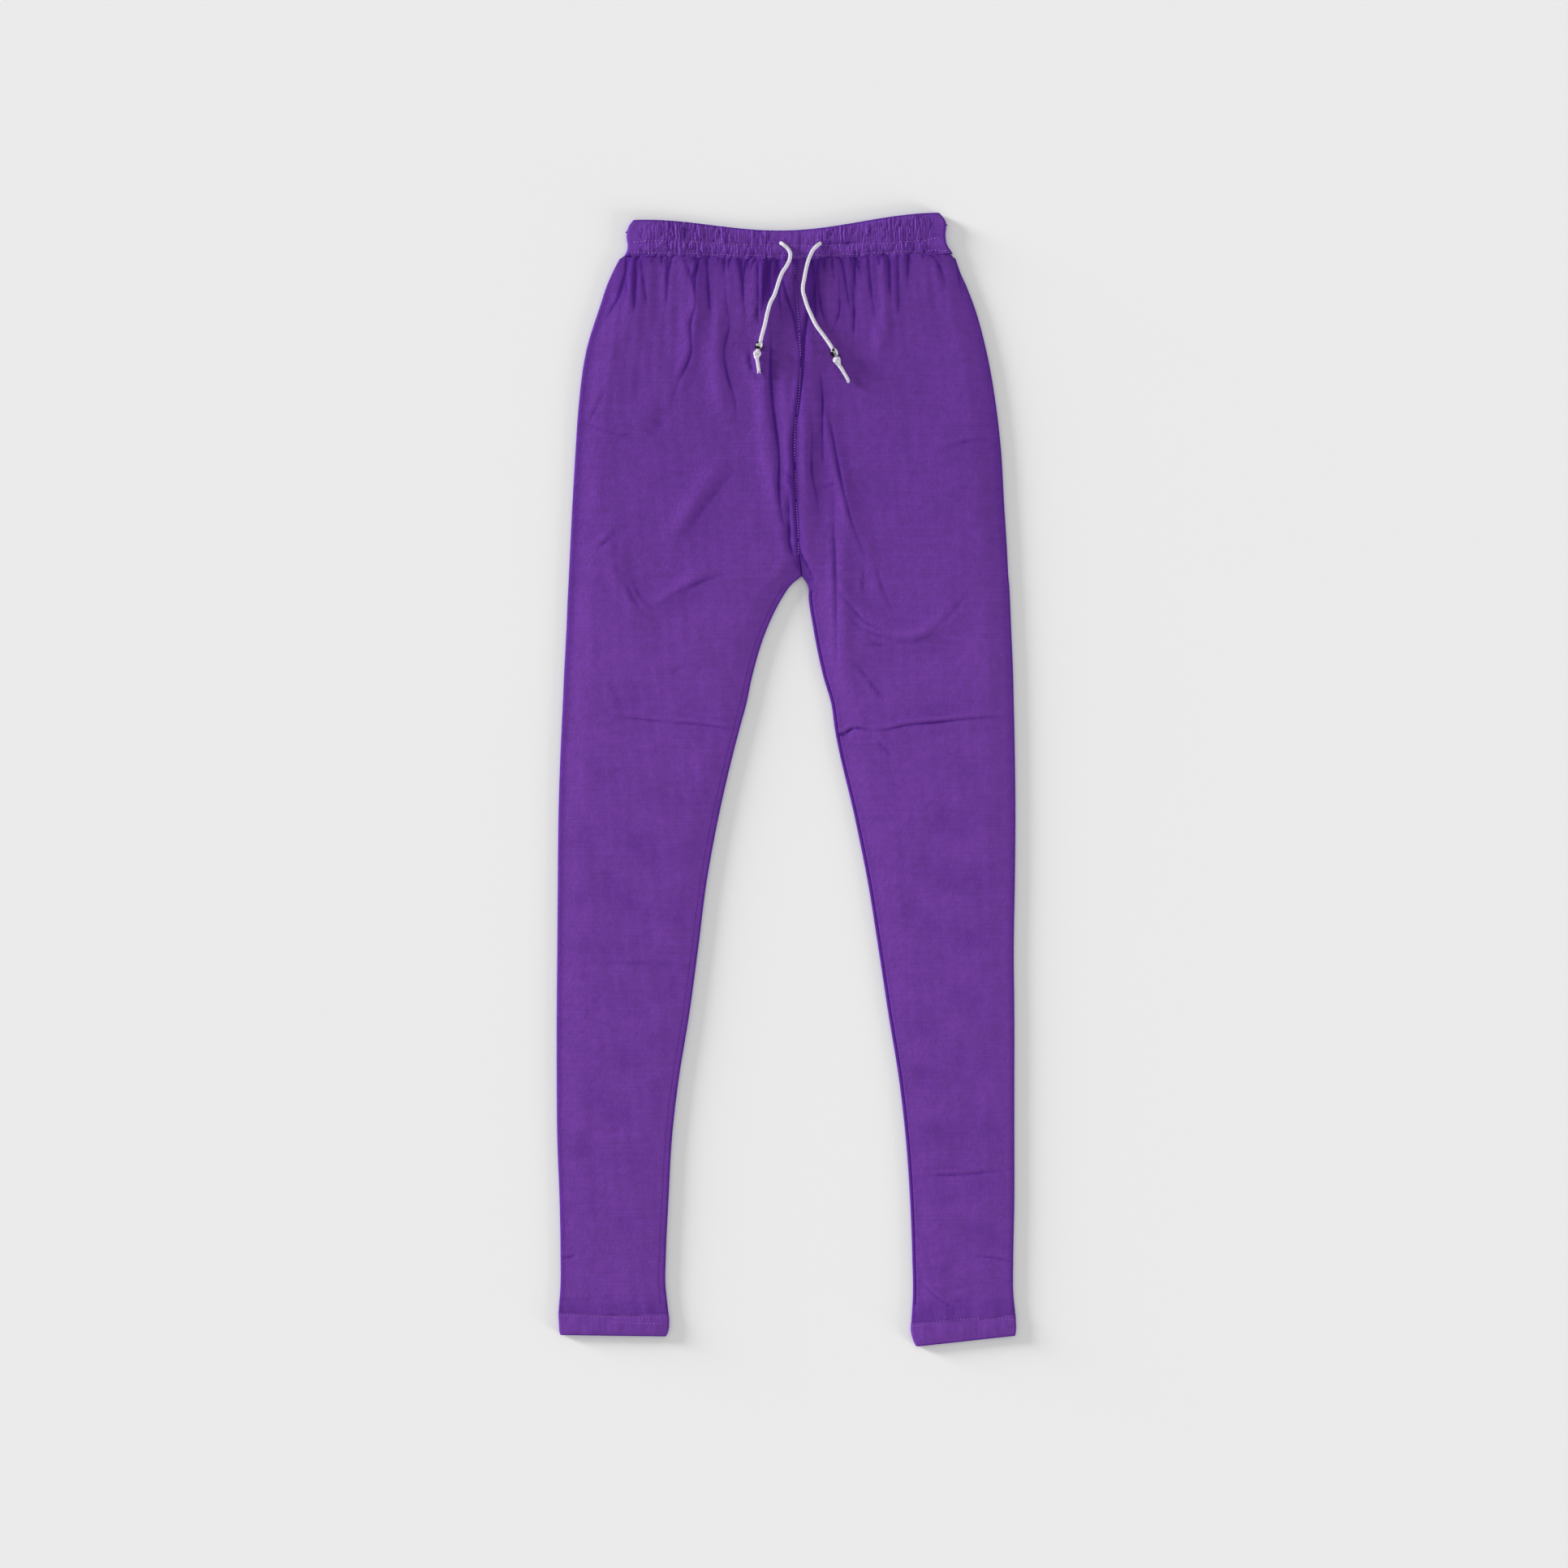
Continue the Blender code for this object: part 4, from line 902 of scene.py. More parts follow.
def band_relief(x, y, top_y):
    """Height and painted shade of the waistband's front: crinkled casings, puffed by a sine between the
    stitches.

    The crinkles are calm between the eyelets and end at the lower row. Each eyelet is a dip with a rim.
    """
    middle = middle_stitch_y(x)
    lower = lower_stitch_y(x)
    upper_share = np.clip((y - middle) / (top_y - middle), 0.0, 1.0)
    lower_share = np.clip((middle - y) / (middle - lower), 0.0, 1.0)
    puff = np.where(y > middle, np.sin(math.pi * upper_share**0.8), np.sin(math.pi * lower_share)) ** 0.6
    uneven = 0.6 + 0.4 * np.sin(x / 9.0) * np.sin(x / 3.7 + 1.0)
    crinkle = band_crinkle(x, y, middle)
    depth = 0.85 + 0.3 * np.sin(x / 17.0 + 0.6) + 0.2 * np.sin(x / 6.1 + y / 9.0)
    calm = 1.0 - 0.85 * ease((x + 17.0) / 7.0) * ease((33.0 - x) / 7.0)
    relief = 0.6 * puff * uneven
    relief += 0.8 * crinkle * depth * calm * (0.55 + 0.45 * puff) * (1.0 - ease((lower - y) / 2.5))
    # Shade painted between the crinkles.
    shade = 0.35 * (1.0 - ease(crinkle / 0.35)) * calm
    groups = ((band_pinches(), calm), (waist_gathers(), ease((lower + 4.0 - y) / 4.0)), (BAND_CREASES, 1.0))
    for creases, strength in groups:
        rise, dark = sum(np.array(crease_marks(x.ravel(), y.ravel(), crease)) for crease in creases)
        relief += rise.reshape(x.shape) * strength
        shade += dark.reshape(x.shape) * strength
    for eye_x, eye_y in EYELETS:
        away = np.hypot((x - eye_x) / 1.5, (y - eye_y) / 2.2)
        relief += 0.5 * np.exp(-(((away - 1.5) / 0.5) ** 2)) - 2.2 * np.exp(-(away**2))
    return relief, shade


def ring_front(left, right, sag, height, steps):
    """Plan of a flattened ring's front: x, y, the share of the way across, and the rows' y at any share.

    Each row runs straight from its left end to its right, and sags by sin^2 towards the middle.
    """

    def row_y(share):
        return left[:, 1:2] + (right[:, 1:2] - left[:, 1:2]) * share - sag * np.sin(math.pi * share) ** 2

    share = np.linspace(0.0, 1.0, steps + 1)[None]
    x = left[:, 0:1] + 0.5 * height + (right[:, 0:1] - left[:, 0:1] - height) * share
    return x, row_y(share), share, row_y


def ring_grid(left, right, row_y, front, height, back_steps, back_rise):
    """A flattened ring's rows: the front from left to right, half a circle, the back, and half a circle.

    left and right are the rows' ends, row_y(share) is their plan and front the front's points.
    """
    radius = 0.5 * height
    run = right - left
    along = (run / np.linalg.norm(run, axis=1, keepdims=True))[:, None]
    right_centre = right[:, None] - along * radius
    left_centre = left[:, None] + along * radius
    turn = np.linspace(0.5 * math.pi, -0.5 * math.pi, RING_SIDE_STEPS + 1)
    reach = radius * np.cos(turn)[None, :, None]
    side_top = np.broadcast_to(radius + radius * np.sin(turn), (len(left), RING_SIDE_STEPS + 1))
    share = np.linspace(1.0, 0.0, back_steps + 1)[None]
    back_x = left_centre[..., 0] + (right_centre[..., 0] - left_centre[..., 0]) * share
    back_top = back_rise * np.sin(math.pi * share) * np.abs(np.sin(back_x / 3.1 + np.sin(back_x / 7.0)))
    right_side = np.concatenate((right_centre + along * reach, side_top[..., None]), axis=2)
    left_side = np.concatenate((left_centre - along * reach, side_top[..., None]), axis=2)
    back = np.stack((back_x, row_y(share), back_top), axis=-1)
    return np.concatenate((front, right_side[:, 1:], back[:, 1:], left_side[:, -2::-1]), axis=1)


def turned_in(grid, at_start, radius, depth, height, steps=6):
    """Adds rows where the cloth turns over at an open end: half a circle inwards, then back in by depth."""
    rows = grid if at_start else grid[::-1]
    edge, before = rows[0], rows[1]
    heading = edge - before
    heading[:, 2] = 0.0
    heading = heading / np.linalg.norm(heading, axis=1, keepdims=True)
    low, high = edge[:, 0].min() + 0.5 * height, edge[:, 0].max() - 0.5 * height
    core = np.column_stack((edge[:, 0].clip(low, high), edge[:, 1], np.full(len(edge), 0.5 * height)))
    inward = core - edge
    inward = inward / np.linalg.norm(inward, axis=1, keepdims=True).clip(0.01)
    turn = np.linspace(0.0, math.pi, steps + 1)[1:, None, None]
    curl = edge + heading * radius * np.sin(turn) + inward * radius * (1.0 - np.cos(turn))
    tucked = curl[-1] - heading * depth * np.array((0.4, 1.0))[:, None, None]
    extended = np.concatenate((tucked[::-1], curl[::-1], rows))
    return extended if at_start else extended[::-1]


def band_grid(front_steps=640, rows=42):
    """Points and painted shade of the waistband: rows on cubic curves down the band, its lower edge a little
    wavy.
    """
    table = np.array(BAND_ROWS, dtype=float)
    stations = run_length(table[:, :2])
    lines = curve_through(stations, table, np.linspace(0.0, stations[-1], rows))
    left, right, sag = lines[:, 0:2], lines[:, 2:4], lines[:, 4:5]
    x, y, share, row_y = ring_front(left, right, sag, BAND_HEIGHT, front_steps)
    from_side = np.minimum(share, 1.0 - share)
    wavy = 0.5 + 0.2 * np.sin(x / 3.3) + 0.15 * np.sin(x / 1.7 + 1.0)
    y = y - np.linspace(0.0, 1.0, rows)[:, None] ** 4 * wavy * ease(20.0 * from_side)
    relief, dark = band_relief(x, y, y[:1])
    relief = relief * ease(10.0 * from_side)
    top = press_under_cords(x.ravel(), y.ravel(), BAND_HEIGHT + relief.ravel()).reshape(x.shape)
    front = np.stack((x, y, top), axis=-1)
    points = ring_grid(left, right, row_y, front, BAND_HEIGHT, back_steps=150, back_rise=0.35)
    # Shade painted on the band's rolled sides and along its top edge.
    shade = np.full(points.shape[:2], 2.0 * RIM_SHADE)
    shade[:, :front_steps + 1] = dark
    shade[:2] += RIM_SHADE * np.array(((2.0,), (1.0,)))
    return points, shade


def make_waistband(material):
    """The gathered waistband, turned in at its open top, with shade painted in its folds, on its sides and on
    the turned-in rows.
    """
    rows, shade = band_grid()
    points = turned_in(rows, at_start=True, radius=0.9, depth=14.0, height=BAND_HEIGHT)
    shade = np.pad(shade, ((len(points) - len(rows), 0), (0, 0)), constant_values=2.5 * RIM_SHADE)
    dark = 0.52 * painted_shade_map(points, shade, bunched=0.3)
    piece = grid_piece("waistband_casing", points, flip=True, hollow=dark)
    finish_piece(piece, material, "jersey", "waistband")


def hem_grid(leg, rows=14):
    """Points of a hem: a flat ring two plies thick, puckered a little along its stitching."""
    table = np.array(leg.hem_rows, dtype=float)
    table[0, (1, 3)] += 1.2
    stations = run_length(table[:, 2:])
    lines = curve_through(stations, table, np.linspace(0.0, stations[-1], rows))
    left, right = (lines[:, 0:2], lines[:, 2:4]) if leg.side < 0.0 else (lines[:, 2:4], lines[:, 0:2])
    x, y, share, row_y = ring_front(left, right, 0.0, HEM_HEIGHT, HEM_FRONT_STEPS)
    puff = np.sin(math.pi * np.linspace(0.0, 1.0, rows)[:, None] * np.ones(x.shape))
    pucker = 0.12 * np.abs(np.sin(x / 2.3 + 1.7 * np.sin(x / 9.0))) * puff
    stitch = np.exp(-(((y - hem_stitch_y(leg, x)) / 0.9) ** 2))
    relief = pucker + 0.35 * puff - 0.2 * stitch + ripple(x, y, size=0.12, length=22.0, count=6, seed=31)
    relief = relief * ease(8.0 * np.minimum(share, 1.0 - share))
    front = np.stack((x, y, HEM_HEIGHT + relief), axis=-1)
    return ring_grid(left, right, row_y, front, HEM_HEIGHT, back_steps=30, back_rise=0.2)


def hem_stitch_y(leg, x):
    """Height on the plan of a hem's upper row of stitching."""
    return np.interp(x, *np.transpose(leg.hem_stitches[0]))


def make_hem(leg, material):
    """One turned-up hem, with shade painted at its sides and inside."""
    rows = hem_grid(leg)
    points = turned_in(rows, at_start=False, radius=0.7, depth=9.0, height=HEM_HEIGHT)
    shade = np.full(points.shape[:2], RIM_SHADE)
    shade[:len(rows) - 1, :HEM_FRONT_STEPS + 1] = 0.0
    dark = painted_shade_map(points, shade, bunched=0.0)
    piece = grid_piece(f"{leg.name}_hem_turned", points, flip=True, hollow=dark)
    finish_piece(piece, material, "jersey", f"hem_{leg.name}")


def across_frame(line):
    """Unit vectors along a line, level across it and standing on both, at each of its points."""
    heading = np.gradient(line, axis=0)
    heading = heading / np.linalg.norm(heading, axis=1, keepdims=True)
    level = np.column_stack((-heading[:, 1], heading[:, 0], np.zeros(len(line))))
    level = level / np.linalg.norm(level, axis=1, keepdims=True).clip(1e-6)
    return heading, level, np.cross(heading, level)


def tube_grid(line, radius, segments):
    """A round profile carried along a line: radius may be a number, a row value or a whole grid."""
    _, level, stand = across_frame(line)
    turn = np.linspace(0.0, 2.0 * math.pi, segments + 1)
    ring = np.cos(turn)[None, :, None] * level[:, None] + np.sin(turn)[None, :, None] * stand[:, None]
    radius = np.broadcast_to(radius, (len(line), segments + 1))
    return line[:, None] + ring * radius[..., None]


def braid_radius(line, segments, radius, strands=5, lay=3.4):
    """The cord's radius with a low braid: the product of two opposed helices raises diamonds on it."""
    run = run_length(line)[:, None]
    turn = np.linspace(0.0, 2.0 * math.pi, segments + 1)[None]
    left_hand = np.sin(0.5 * strands * turn + math.pi * run / lay)
    right_hand = np.sin(0.5 * strands * turn - math.pi * run / lay)
    return radius * (0.98 + 0.045 * np.abs(left_hand) * np.abs(right_hand))


def closed_tube(name, line, radius, segments, joined=False):
    """A tube mesh with its ends drawn to a point, or with its last row joined to its first."""
    radius = np.array(np.broadcast_to(radius, (len(line), segments + 1)))
    if not joined:
        radius[0] = 0.0
        radius[-1] = 0.0
    return grid_piece(name, tube_grid(line, radius, segments), wrap_rows=joined, poles=not joined)


def drawstring_line(string):
    """The line of one free end: out of its eyelet, through bead and knot, to the end of its tail."""
    route = np.array(string.route)
    start = 1.5 * route[0] - 0.5 * route[1]
    start[2] = BAND_HEIGHT
    middle = (string.knot.x, string.knot.y, string.knot.z)
    return smooth_line(np.vstack((start, route, middle, string.tail)), 0.3)


def make_drawstring(string, materials, sizes):
    """One free end of the drawstring with its bead, its knot and the loose strands at its end."""
    line = drawstring_line(string)
    run = run_length(line)
    thin = ease((run - run[-1] + 13.0) / 4.0)
    radius = 0.5 * sizes.cord_diameter / MM * (1.0 - 0.12 * thin)
    radius = braid_radius(line, CORD_SIDES, radius[:, None])
    radius *= np.clip((run[-1] - run) / 1.2 + 0.45, 0.0, 1.0)[:, None]
    cord = closed_tube(f"{string.side}_drawstring_braid", line, radius, CORD_SIDES)
    finish_piece(cord, materials["cord"], "cord", f"cord_{string.side}", f"tail_{string.side}")
    knot = make_knot(string, materials["cord"])
    bead = make_bead(string, materials["bead"])
    ends = make_frayed_end(string, line, materials["cord"])


def make_knot(string, material):
    """A tight overhand knot: the trefoil sin t + 2 sin 2t, cos t - 2 cos 2t, -sin 3t, pressed to its size."""
    turn = np.linspace(0.0, 2.0 * math.pi, 161)
    across = (np.sin(turn) + 2.0 * np.sin(2.0 * turn)) / 2.6 * KNOT_ACROSS
    along = (np.cos(turn) - 2.0 * np.cos(2.0 * turn)) / 2.6 * KNOT_ALONG
    lean = -math.radians(string.knot.turn)
    line = np.column_stack((
        string.knot.x + across * math.cos(lean) - along * math.sin(lean),
        string.knot.y + across * math.sin(lean) + along * math.cos(lean),
        string.knot.z - np.sin(3.0 * turn) * KNOT_LIFT,
    ))
    radius = braid_radius(line, KNOT_SIDES, KNOT_CORD_RADIUS)
    knot = closed_tube(f"{string.side}_drawstring_knot", line, radius, KNOT_SIDES, joined=True)
    finish_piece(knot, material, "cord", f"knot_{string.side}")
    return knot


def make_bead(string, material, sides=10):
    """A faceted barrel bead: a six-point profile turned about the cord in flat steps, its edges eased.

    How far each facet faces the side of the painted highlight is stored with it, for the bead's painted
    highlight.
    """
    near = np.array(string.route[string.bead_point - 1:string.bead_point + 2])
    heading, level, stand = (part[1] for part in across_frame(near))
    profile = np.array(BEAD_PROFILE)[:, :, None, None]
    turn = np.linspace(0.0, 2.0 * math.pi, sides + 1)
    ring = np.cos(turn)[:, None] * level + np.sin(turn)[:, None] * stand
    points = near[1] + profile[:, 0] * ring[None] + profile[:, 1] * heading
    bead = grid_piece(f"{string.side}_drawstring_bead", points, wrap_rows=True)
    facets = bead.data.polygons
    facets.foreach_set("use_smooth", np.full(len(facets), False))
    normals = np.empty(3 * len(facets))
    facets.foreach_get("normal", normals)
    add_attribute(bead, "facet", "FACE", normals.reshape(-1, 3) @ np.array(BEAD_HIGHLIGHT_SIDE))
    eased = bead.modifiers.new("eased_edges", "BEVEL")
    eased.width = BEAD_EDGE * MM
    eased.segments = 2
    eased.limit_method = "ANGLE"
    finish_piece(bead, material, "bead", f"bead_{string.side}")
    return bead


def make_frayed_end(string, line, material, count=13):
    """Loose strands that fan out where the cord was cut."""
    draw = np.random.default_rng(int(abs(string.knot.x)))
    tip = line[-4]
    heading, level, stand = (part[-1] for part in across_frame(line))
    turn = draw.uniform(0.0, 2.0 * math.pi, count)
    spread = np.sqrt(draw.uniform(0.05, 1.0, count))
    offset = np.cos(turn)[:, None] * level + 0.6 * np.sin(turn)[:, None] * stand
    start = tip + offset * 0.8 * spread[:, None] - heading * 1.5
    end = tip + offset * 1.9 * spread[:, None] + heading * draw.uniform(1.6, 3.4, count)[:, None]
    name = f"{string.side}_drawstring_strands"
    strands = thread_bars(name, np.stack((start, end), axis=1), radius=0.32, bow=0.25)
    finish_piece(strands, material, "cord")
    return strands


def thread_bars(name, ends, radius, bow, rings=5, sides=6):
    """Many short rounded threads: each a bar with tapered ends, bowed up by a sine between them."""
    count = len(ends)
    share = np.linspace(0.0, 1.0, rings + 2)
    middle = ends[:, :1] + (ends[:, 1:] - ends[:, :1]) * share[None, :, None]
    middle[..., 2] += bow * np.sin(math.pi * share)
    heading = (ends[:, 1] - ends[:, 0]) / np.linalg.norm(ends[:, 1] - ends[:, 0], axis=1, keepdims=True)
    level = np.cross(heading, (0.0, 0.0, 1.0))
    level = level / np.linalg.norm(level, axis=1, keepdims=True).clip(1e-6)
    stand = np.cross(level, heading)
    turn = np.arange(sides) * 2.0 * math.pi / sides
    ring = np.cos(turn)[None, :, None] * level[:, None] + np.sin(turn)[None, :, None] * stand[:, None]
    thick = radius * np.sqrt(np.sin(math.pi * (0.06 + 0.88 * share[1:-1])))
    body = middle[:, 1:-1, None] + thick[None, :, None, None] * ring[:, None]
    points = np.concatenate((middle[:, :1], body.reshape(count, -1, 3), middle[:, -1:]), axis=1)
    across = np.arange(sides)
    after = (across + 1) % sides
    down = np.arange(rings - 1)[:, None] * sides + 1
    quads = np.stack((down + across, down + sides + across, down + sides + after, down + after), axis=-1)
    last = 1 + (rings - 1) * sides
    first_cap = np.stack((np.zeros(sides, int), 1 + across, 1 + after), axis=-1)
    last_cap = np.stack((np.full(sides, last + sides), last + after, last + across), axis=-1)
    start = (np.arange(count) * points.shape[1])[:, None, None]
    polygons = []
    for faces in (quads.reshape(-1, 4), first_cap, last_cap):
        polygons += (faces[None] + start).reshape(-1, faces.shape[1]).tolist()
    return add_mesh(name, points.reshape(-1, 3) * MM, polygons)


def cloth_trees():
    """Search trees of the cloth pieces, to set things down on them."""
    scene = bpy.context.scene
    names = [item.name for item in scene.objects if item.name.endswith(("_jersey", "_casing", "_turned"))]
    graph = bpy.context.evaluated_depsgraph_get()
    return [BVHTree.FromObject(scene.objects[name], graph) for name in names]


def set_down(plan, trees):
    """The height of the highest cloth under each point of the plan, in millimetres."""
    down = Vector((0.0, 0.0, -1.0))
    heights = []
    for x, y in plan:
        above = Vector((x * MM, y * MM, 0.05))
        hits = [tree.ray_cast(above, down)[0] for tree in trees]
        heights.append(max([hit.z for hit in hits if hit is not None], default=0.0) / MM)
    return np.array(heights)


def stitch_row(path, length, gap, trees, sunk):
    """Ends of the stitches of one row: equal stitches along a line of the plan, set down on the cloth."""
    line = np.array(path, dtype=float)
    stations = run_length(line)
    starts = np.arange(0.5 * gap, stations[-1] - length, length + gap)
    ends = []
    for at in (starts, starts + length):
        plan = np.column_stack([np.interp(at, stations, line[:, axis]) for axis in (0, 1)])
        ends.append(np.column_stack((plan, set_down(plan, trees) - sunk)))
    return np.stack(ends, axis=1)


def band_path(row_y, low_x, high_x):
    """A row of stitching along the waistband, as a line on the plan."""
    x = np.linspace(low_x, high_x, 60)
    return np.column_stack((x, row_y(x)))


def inseam_path(leg, inset):
    """A line down the leg, a little inside its inner edge."""
    ends, closed = leg_ends(leg)
    rows = ends[closed][4:]
    rows = rows[rows[:, 3] > INSEAM_END_Y]
    return np.column_stack((rows[:, 2] + leg.side * inset, rows[:, 3]))


def make_stitching(materials, sizes):
    """Rows of stitches on the waistband, down the centre front, beside the inseams and round the hems."""
    trees = cloth_trees()
    stitch, gap = sizes.stitch_length / MM, sizes.stitch_gap / MM
    radius = 0.5 * sizes.thread_diameter / MM

    def sew(name, paths, thread, thick, long=1.0, sunk=0.12):
        rows = [stitch_row(path, long * stitch, gap, trees, sunk) for path in paths]
        piece = thread_bars(name, np.concatenate(rows), thick * radius, STITCH_BOW)
        finish_piece(piece, materials[thread], "jersey")

    band_rows = band_path(middle_stitch_y, -138.0, 138.5), band_path(lower_stitch_y, -141.0, 145.0)
    sew("waistband_stitches", band_rows, "topstitch", BAND_STITCH)
    sew("centre_front_stitches", (CENTRE_FRONT_STITCHES,), "topstitch", CENTRE_STITCH, long=0.6, sunk=-0.1)
    for leg in LEGS:
        sew(f"{leg.name}_hem_stitches", leg.hem_stitches, "topstitch", FINE_STITCH)
        inseam = inseam_path(leg, leg.inseam.stitch_inset)
        sew(f"{leg.name}_inseam_stitches", (inseam,), "inseam", FINE_STITCH)


def add_node(tree, kind, inputs=None, **settings):
    """A shader node with its settings, its inputs set to values or linked to sockets."""
    made = tree.nodes.new(kind)
    for name, value in settings.items():
        setattr(made, name, value)
    for name, value in (inputs or {}).items():
        if isinstance(value, bpy.types.NodeSocket):
            tree.links.new(value, made.inputs[name])
        else:
            made.inputs[name].default_value = value
    return made


def calc(tree, operation, first, second=0.0):
    """One step of arithmetic on a shader value."""
    return add_node(tree, "ShaderNodeMath", {0: first, 1: second}, operation=operation).outputs[0]


def multiply(tree, product, *factors):
    """The product of shader values."""
    for factor in factors:
        product = calc(tree, "MULTIPLY", product, factor)
    return product


def new_finish(name, roughness, metallic=0.0, specular=0.3):
    """A new node material, with its tree, its shader and a point's place on the finished piece."""
    material = bpy.data.materials.new(name)
    material.use_nodes = True
    tree = material.node_tree
    shader = tree.nodes["Principled BSDF"]
    shader.inputs["Roughness"].default_value = roughness
    shader.inputs["Metallic"].default_value = metallic
    shader.inputs["Specular IOR Level"].default_value = specular
    return material, tree, shader, add_node(tree, "ShaderNodeTexCoord").outputs["Object"]


def cloth_place(tree):
    """A point's place on the unrolled cloth: whole, across and along."""
    cloth = add_node(tree, "ShaderNodeUVMap", uv_map="cloth").outputs["UV"]
    split = add_node(tree, "ShaderNodeSeparateXYZ", {0: cloth})
    return cloth, split.outputs[0], split.outputs[1]


def noise(tree, place, scale, detail=2.0, roughness=0.5):
    """Smooth noise of a given number of lumps a metre."""
    inputs = {"Vector": place, "Scale": scale, "Detail": detail, "Roughness": roughness}
    return add_node(tree, "ShaderNodeTexNoise", inputs).outputs["Fac"]


def attribute(tree, name):
    """A number stored with the mesh."""
    return add_node(tree, "ShaderNodeAttribute", attribute_name=name).outputs["Fac"]


def map_range(tree, value, from_min, from_max, to_min, to_max):
    """A value carried from one range to another and held inside it."""
    inputs = {"Value": value, 1: from_min, 2: from_max, 3: to_min, 4: to_max}
    return add_node(tree, "ShaderNodeMapRange", inputs).outputs[0]


def bumped(tree, height, strength, distance, over=None):
    """A normal tilted by the slopes of a height, on top of another normal where one is given."""
    inputs = {"Height": height, "Strength": strength, "Distance": distance}
    if over is not None:
        inputs["Normal"] = over
    return add_node(tree, "ShaderNodeBump", inputs).outputs[0]


def link_finish(tree, shader, **values):
    """Links values to the shader's inputs, base_color to Base Color and so on."""
    for name, value in values.items():
        tree.links.new(value, shader.inputs[name.replace("_", " ").title()])


def centred(tree, value, size):
    """A 0 to 1 value turned into a factor round 1, as far as size on each side."""
    return calc(tree, "ADD", multiply(tree, calc(tree, "SUBTRACT", value, 0.5), 2.0 * size), 1.0)


def shaded(tree, colour, value):
    """A colour made lighter or darker by a factor."""
    inputs = {"Color": (*colour, 1.0), "Value": value}
    return add_node(tree, "ShaderNodeHueSaturation", inputs).outputs["Color"]


def jersey_finish(name, colour, sizes):
    """Fine single jersey: columns of knit loops, fuzz, mottled dye, faint streaks, a few pale specks, and
    shade painted from the mesh into its creases, hollows and rolled sides.

    A column is the size of a sine across the cloth. The loops are a sine along it, bent by the columns.
    """
    material, tree, shader, spot = new_finish(name, 0.86, specular=0.22)
    cloth, across, along = cloth_place(tree)
    wale = calc(tree, "ABSOLUTE", calc(tree, "SINE", multiply(tree, across, math.pi / sizes.wale)))
    turns = multiply(tree, along, 2.0 * math.pi / sizes.course)
    loop = calc(tree, "SINE", calc(tree, "ADD", turns, multiply(tree, wale, 2.2)))
    knit = calc(tree, "ADD", multiply(tree, wale, 0.6), multiply(tree, loop, 0.25))
    fuzz = noise(tree, spot, scale=1400.0, detail=3.0, roughness=0.6)
    pucker = noise(tree, spot, scale=330.0)
    mottle = noise(tree, spot, scale=150.0, detail=3.0, roughness=0.6)
    patch = noise(tree, spot, scale=14.0)
    inputs = {"Vector": cloth, "Scale": (14.0, 700.0, 1.0)}
    streaked = add_node(tree, "ShaderNodeMapping", inputs).outputs["Vector"]
    streak = noise(tree, streaked, scale=1.0, detail=3.0, roughness=0.6)
    specks = calc(tree, "GREATER_THAN", noise(tree, spot, scale=420.0, detail=0.0), 0.84)
    uneven = ((mottle, 0.22), (patch, 0.07), (streak, 0.18), (fuzz, 0.10))
    value = multiply(tree, *(centred(tree, part, size) for part, size in uneven))
    value = calc(tree, "ADD", value, multiply(tree, specks, 0.35))
    # Painted shade: the stored shade pulls the dye towards IN_SHADE.
    dark = multiply(tree, attribute(tree, "hollow"), 0.78)
    inputs = {0: dark, 6: shaded(tree, colour, value), 7: IN_SHADE}
    dye_and_painted_shade = add_node(tree, "ShaderNodeMix", inputs, data_type="RGBA", blend_type="MULTIPLY").outputs[2]
    grain = calc(tree, "ADD", knit, multiply(tree, fuzz, 0.5))
    fine = bumped(tree, grain, strength=0.5, distance=0.00016)
    link_finish(tree, shader, base_color=dye_and_painted_shade, normal=bumped(tree, pucker, 0.5, 0.0006, over=fine))
    shader.inputs["Sheen Weight"].default_value = 0.08
    shader.inputs["Sheen Roughness"].default_value = 0.5
    shader.inputs["Sheen Tint"].default_value = (0.5, 0.35, 0.8, 1.0)
    return material


def cord_finish(colour):
    """Matt braided cotton: fine crossing strands along the cord's own UV, slightly soiled.

    Its side towards the light is a little darker in colour, so that the weave still shows there.
    """
    material, tree, shader, spot = new_finish("white_braided_cotton", 0.9, specular=0.15)
    _, across, along = cloth_place(tree)
    right = calc(tree, "SINE", multiply(tree, calc(tree, "ADD", across, along), 7400.0))
    left = calc(tree, "SINE", multiply(tree, calc(tree, "SUBTRACT", across, along), 7400.0))
    weave = multiply(tree, right, left)
    dirt = noise(tree, spot, scale=260.0, detail=3.0, roughness=0.6)
    inputs = {0: add_node(tree, "ShaderNodeNewGeometry").outputs["Normal"], 1: (*LIGHT_FROM, 0.12)}
    lit = add_node(tree, "ShaderNodeVectorMath", inputs, operation="DOT_PRODUCT").outputs["Value"]
    held_back = map_range(tree, lit, from_min=0.1, from_max=0.9, to_min=1.0, to_max=0.55)
    value = multiply(tree, centred(tree, dirt, 0.08), centred(tree, weave, 0.03), held_back)
    bump = bumped(tree, weave, strength=0.6, distance=0.0002)
    link_finish(tree, shader, base_color=shaded(tree, colour, value), normal=bump)
    return material


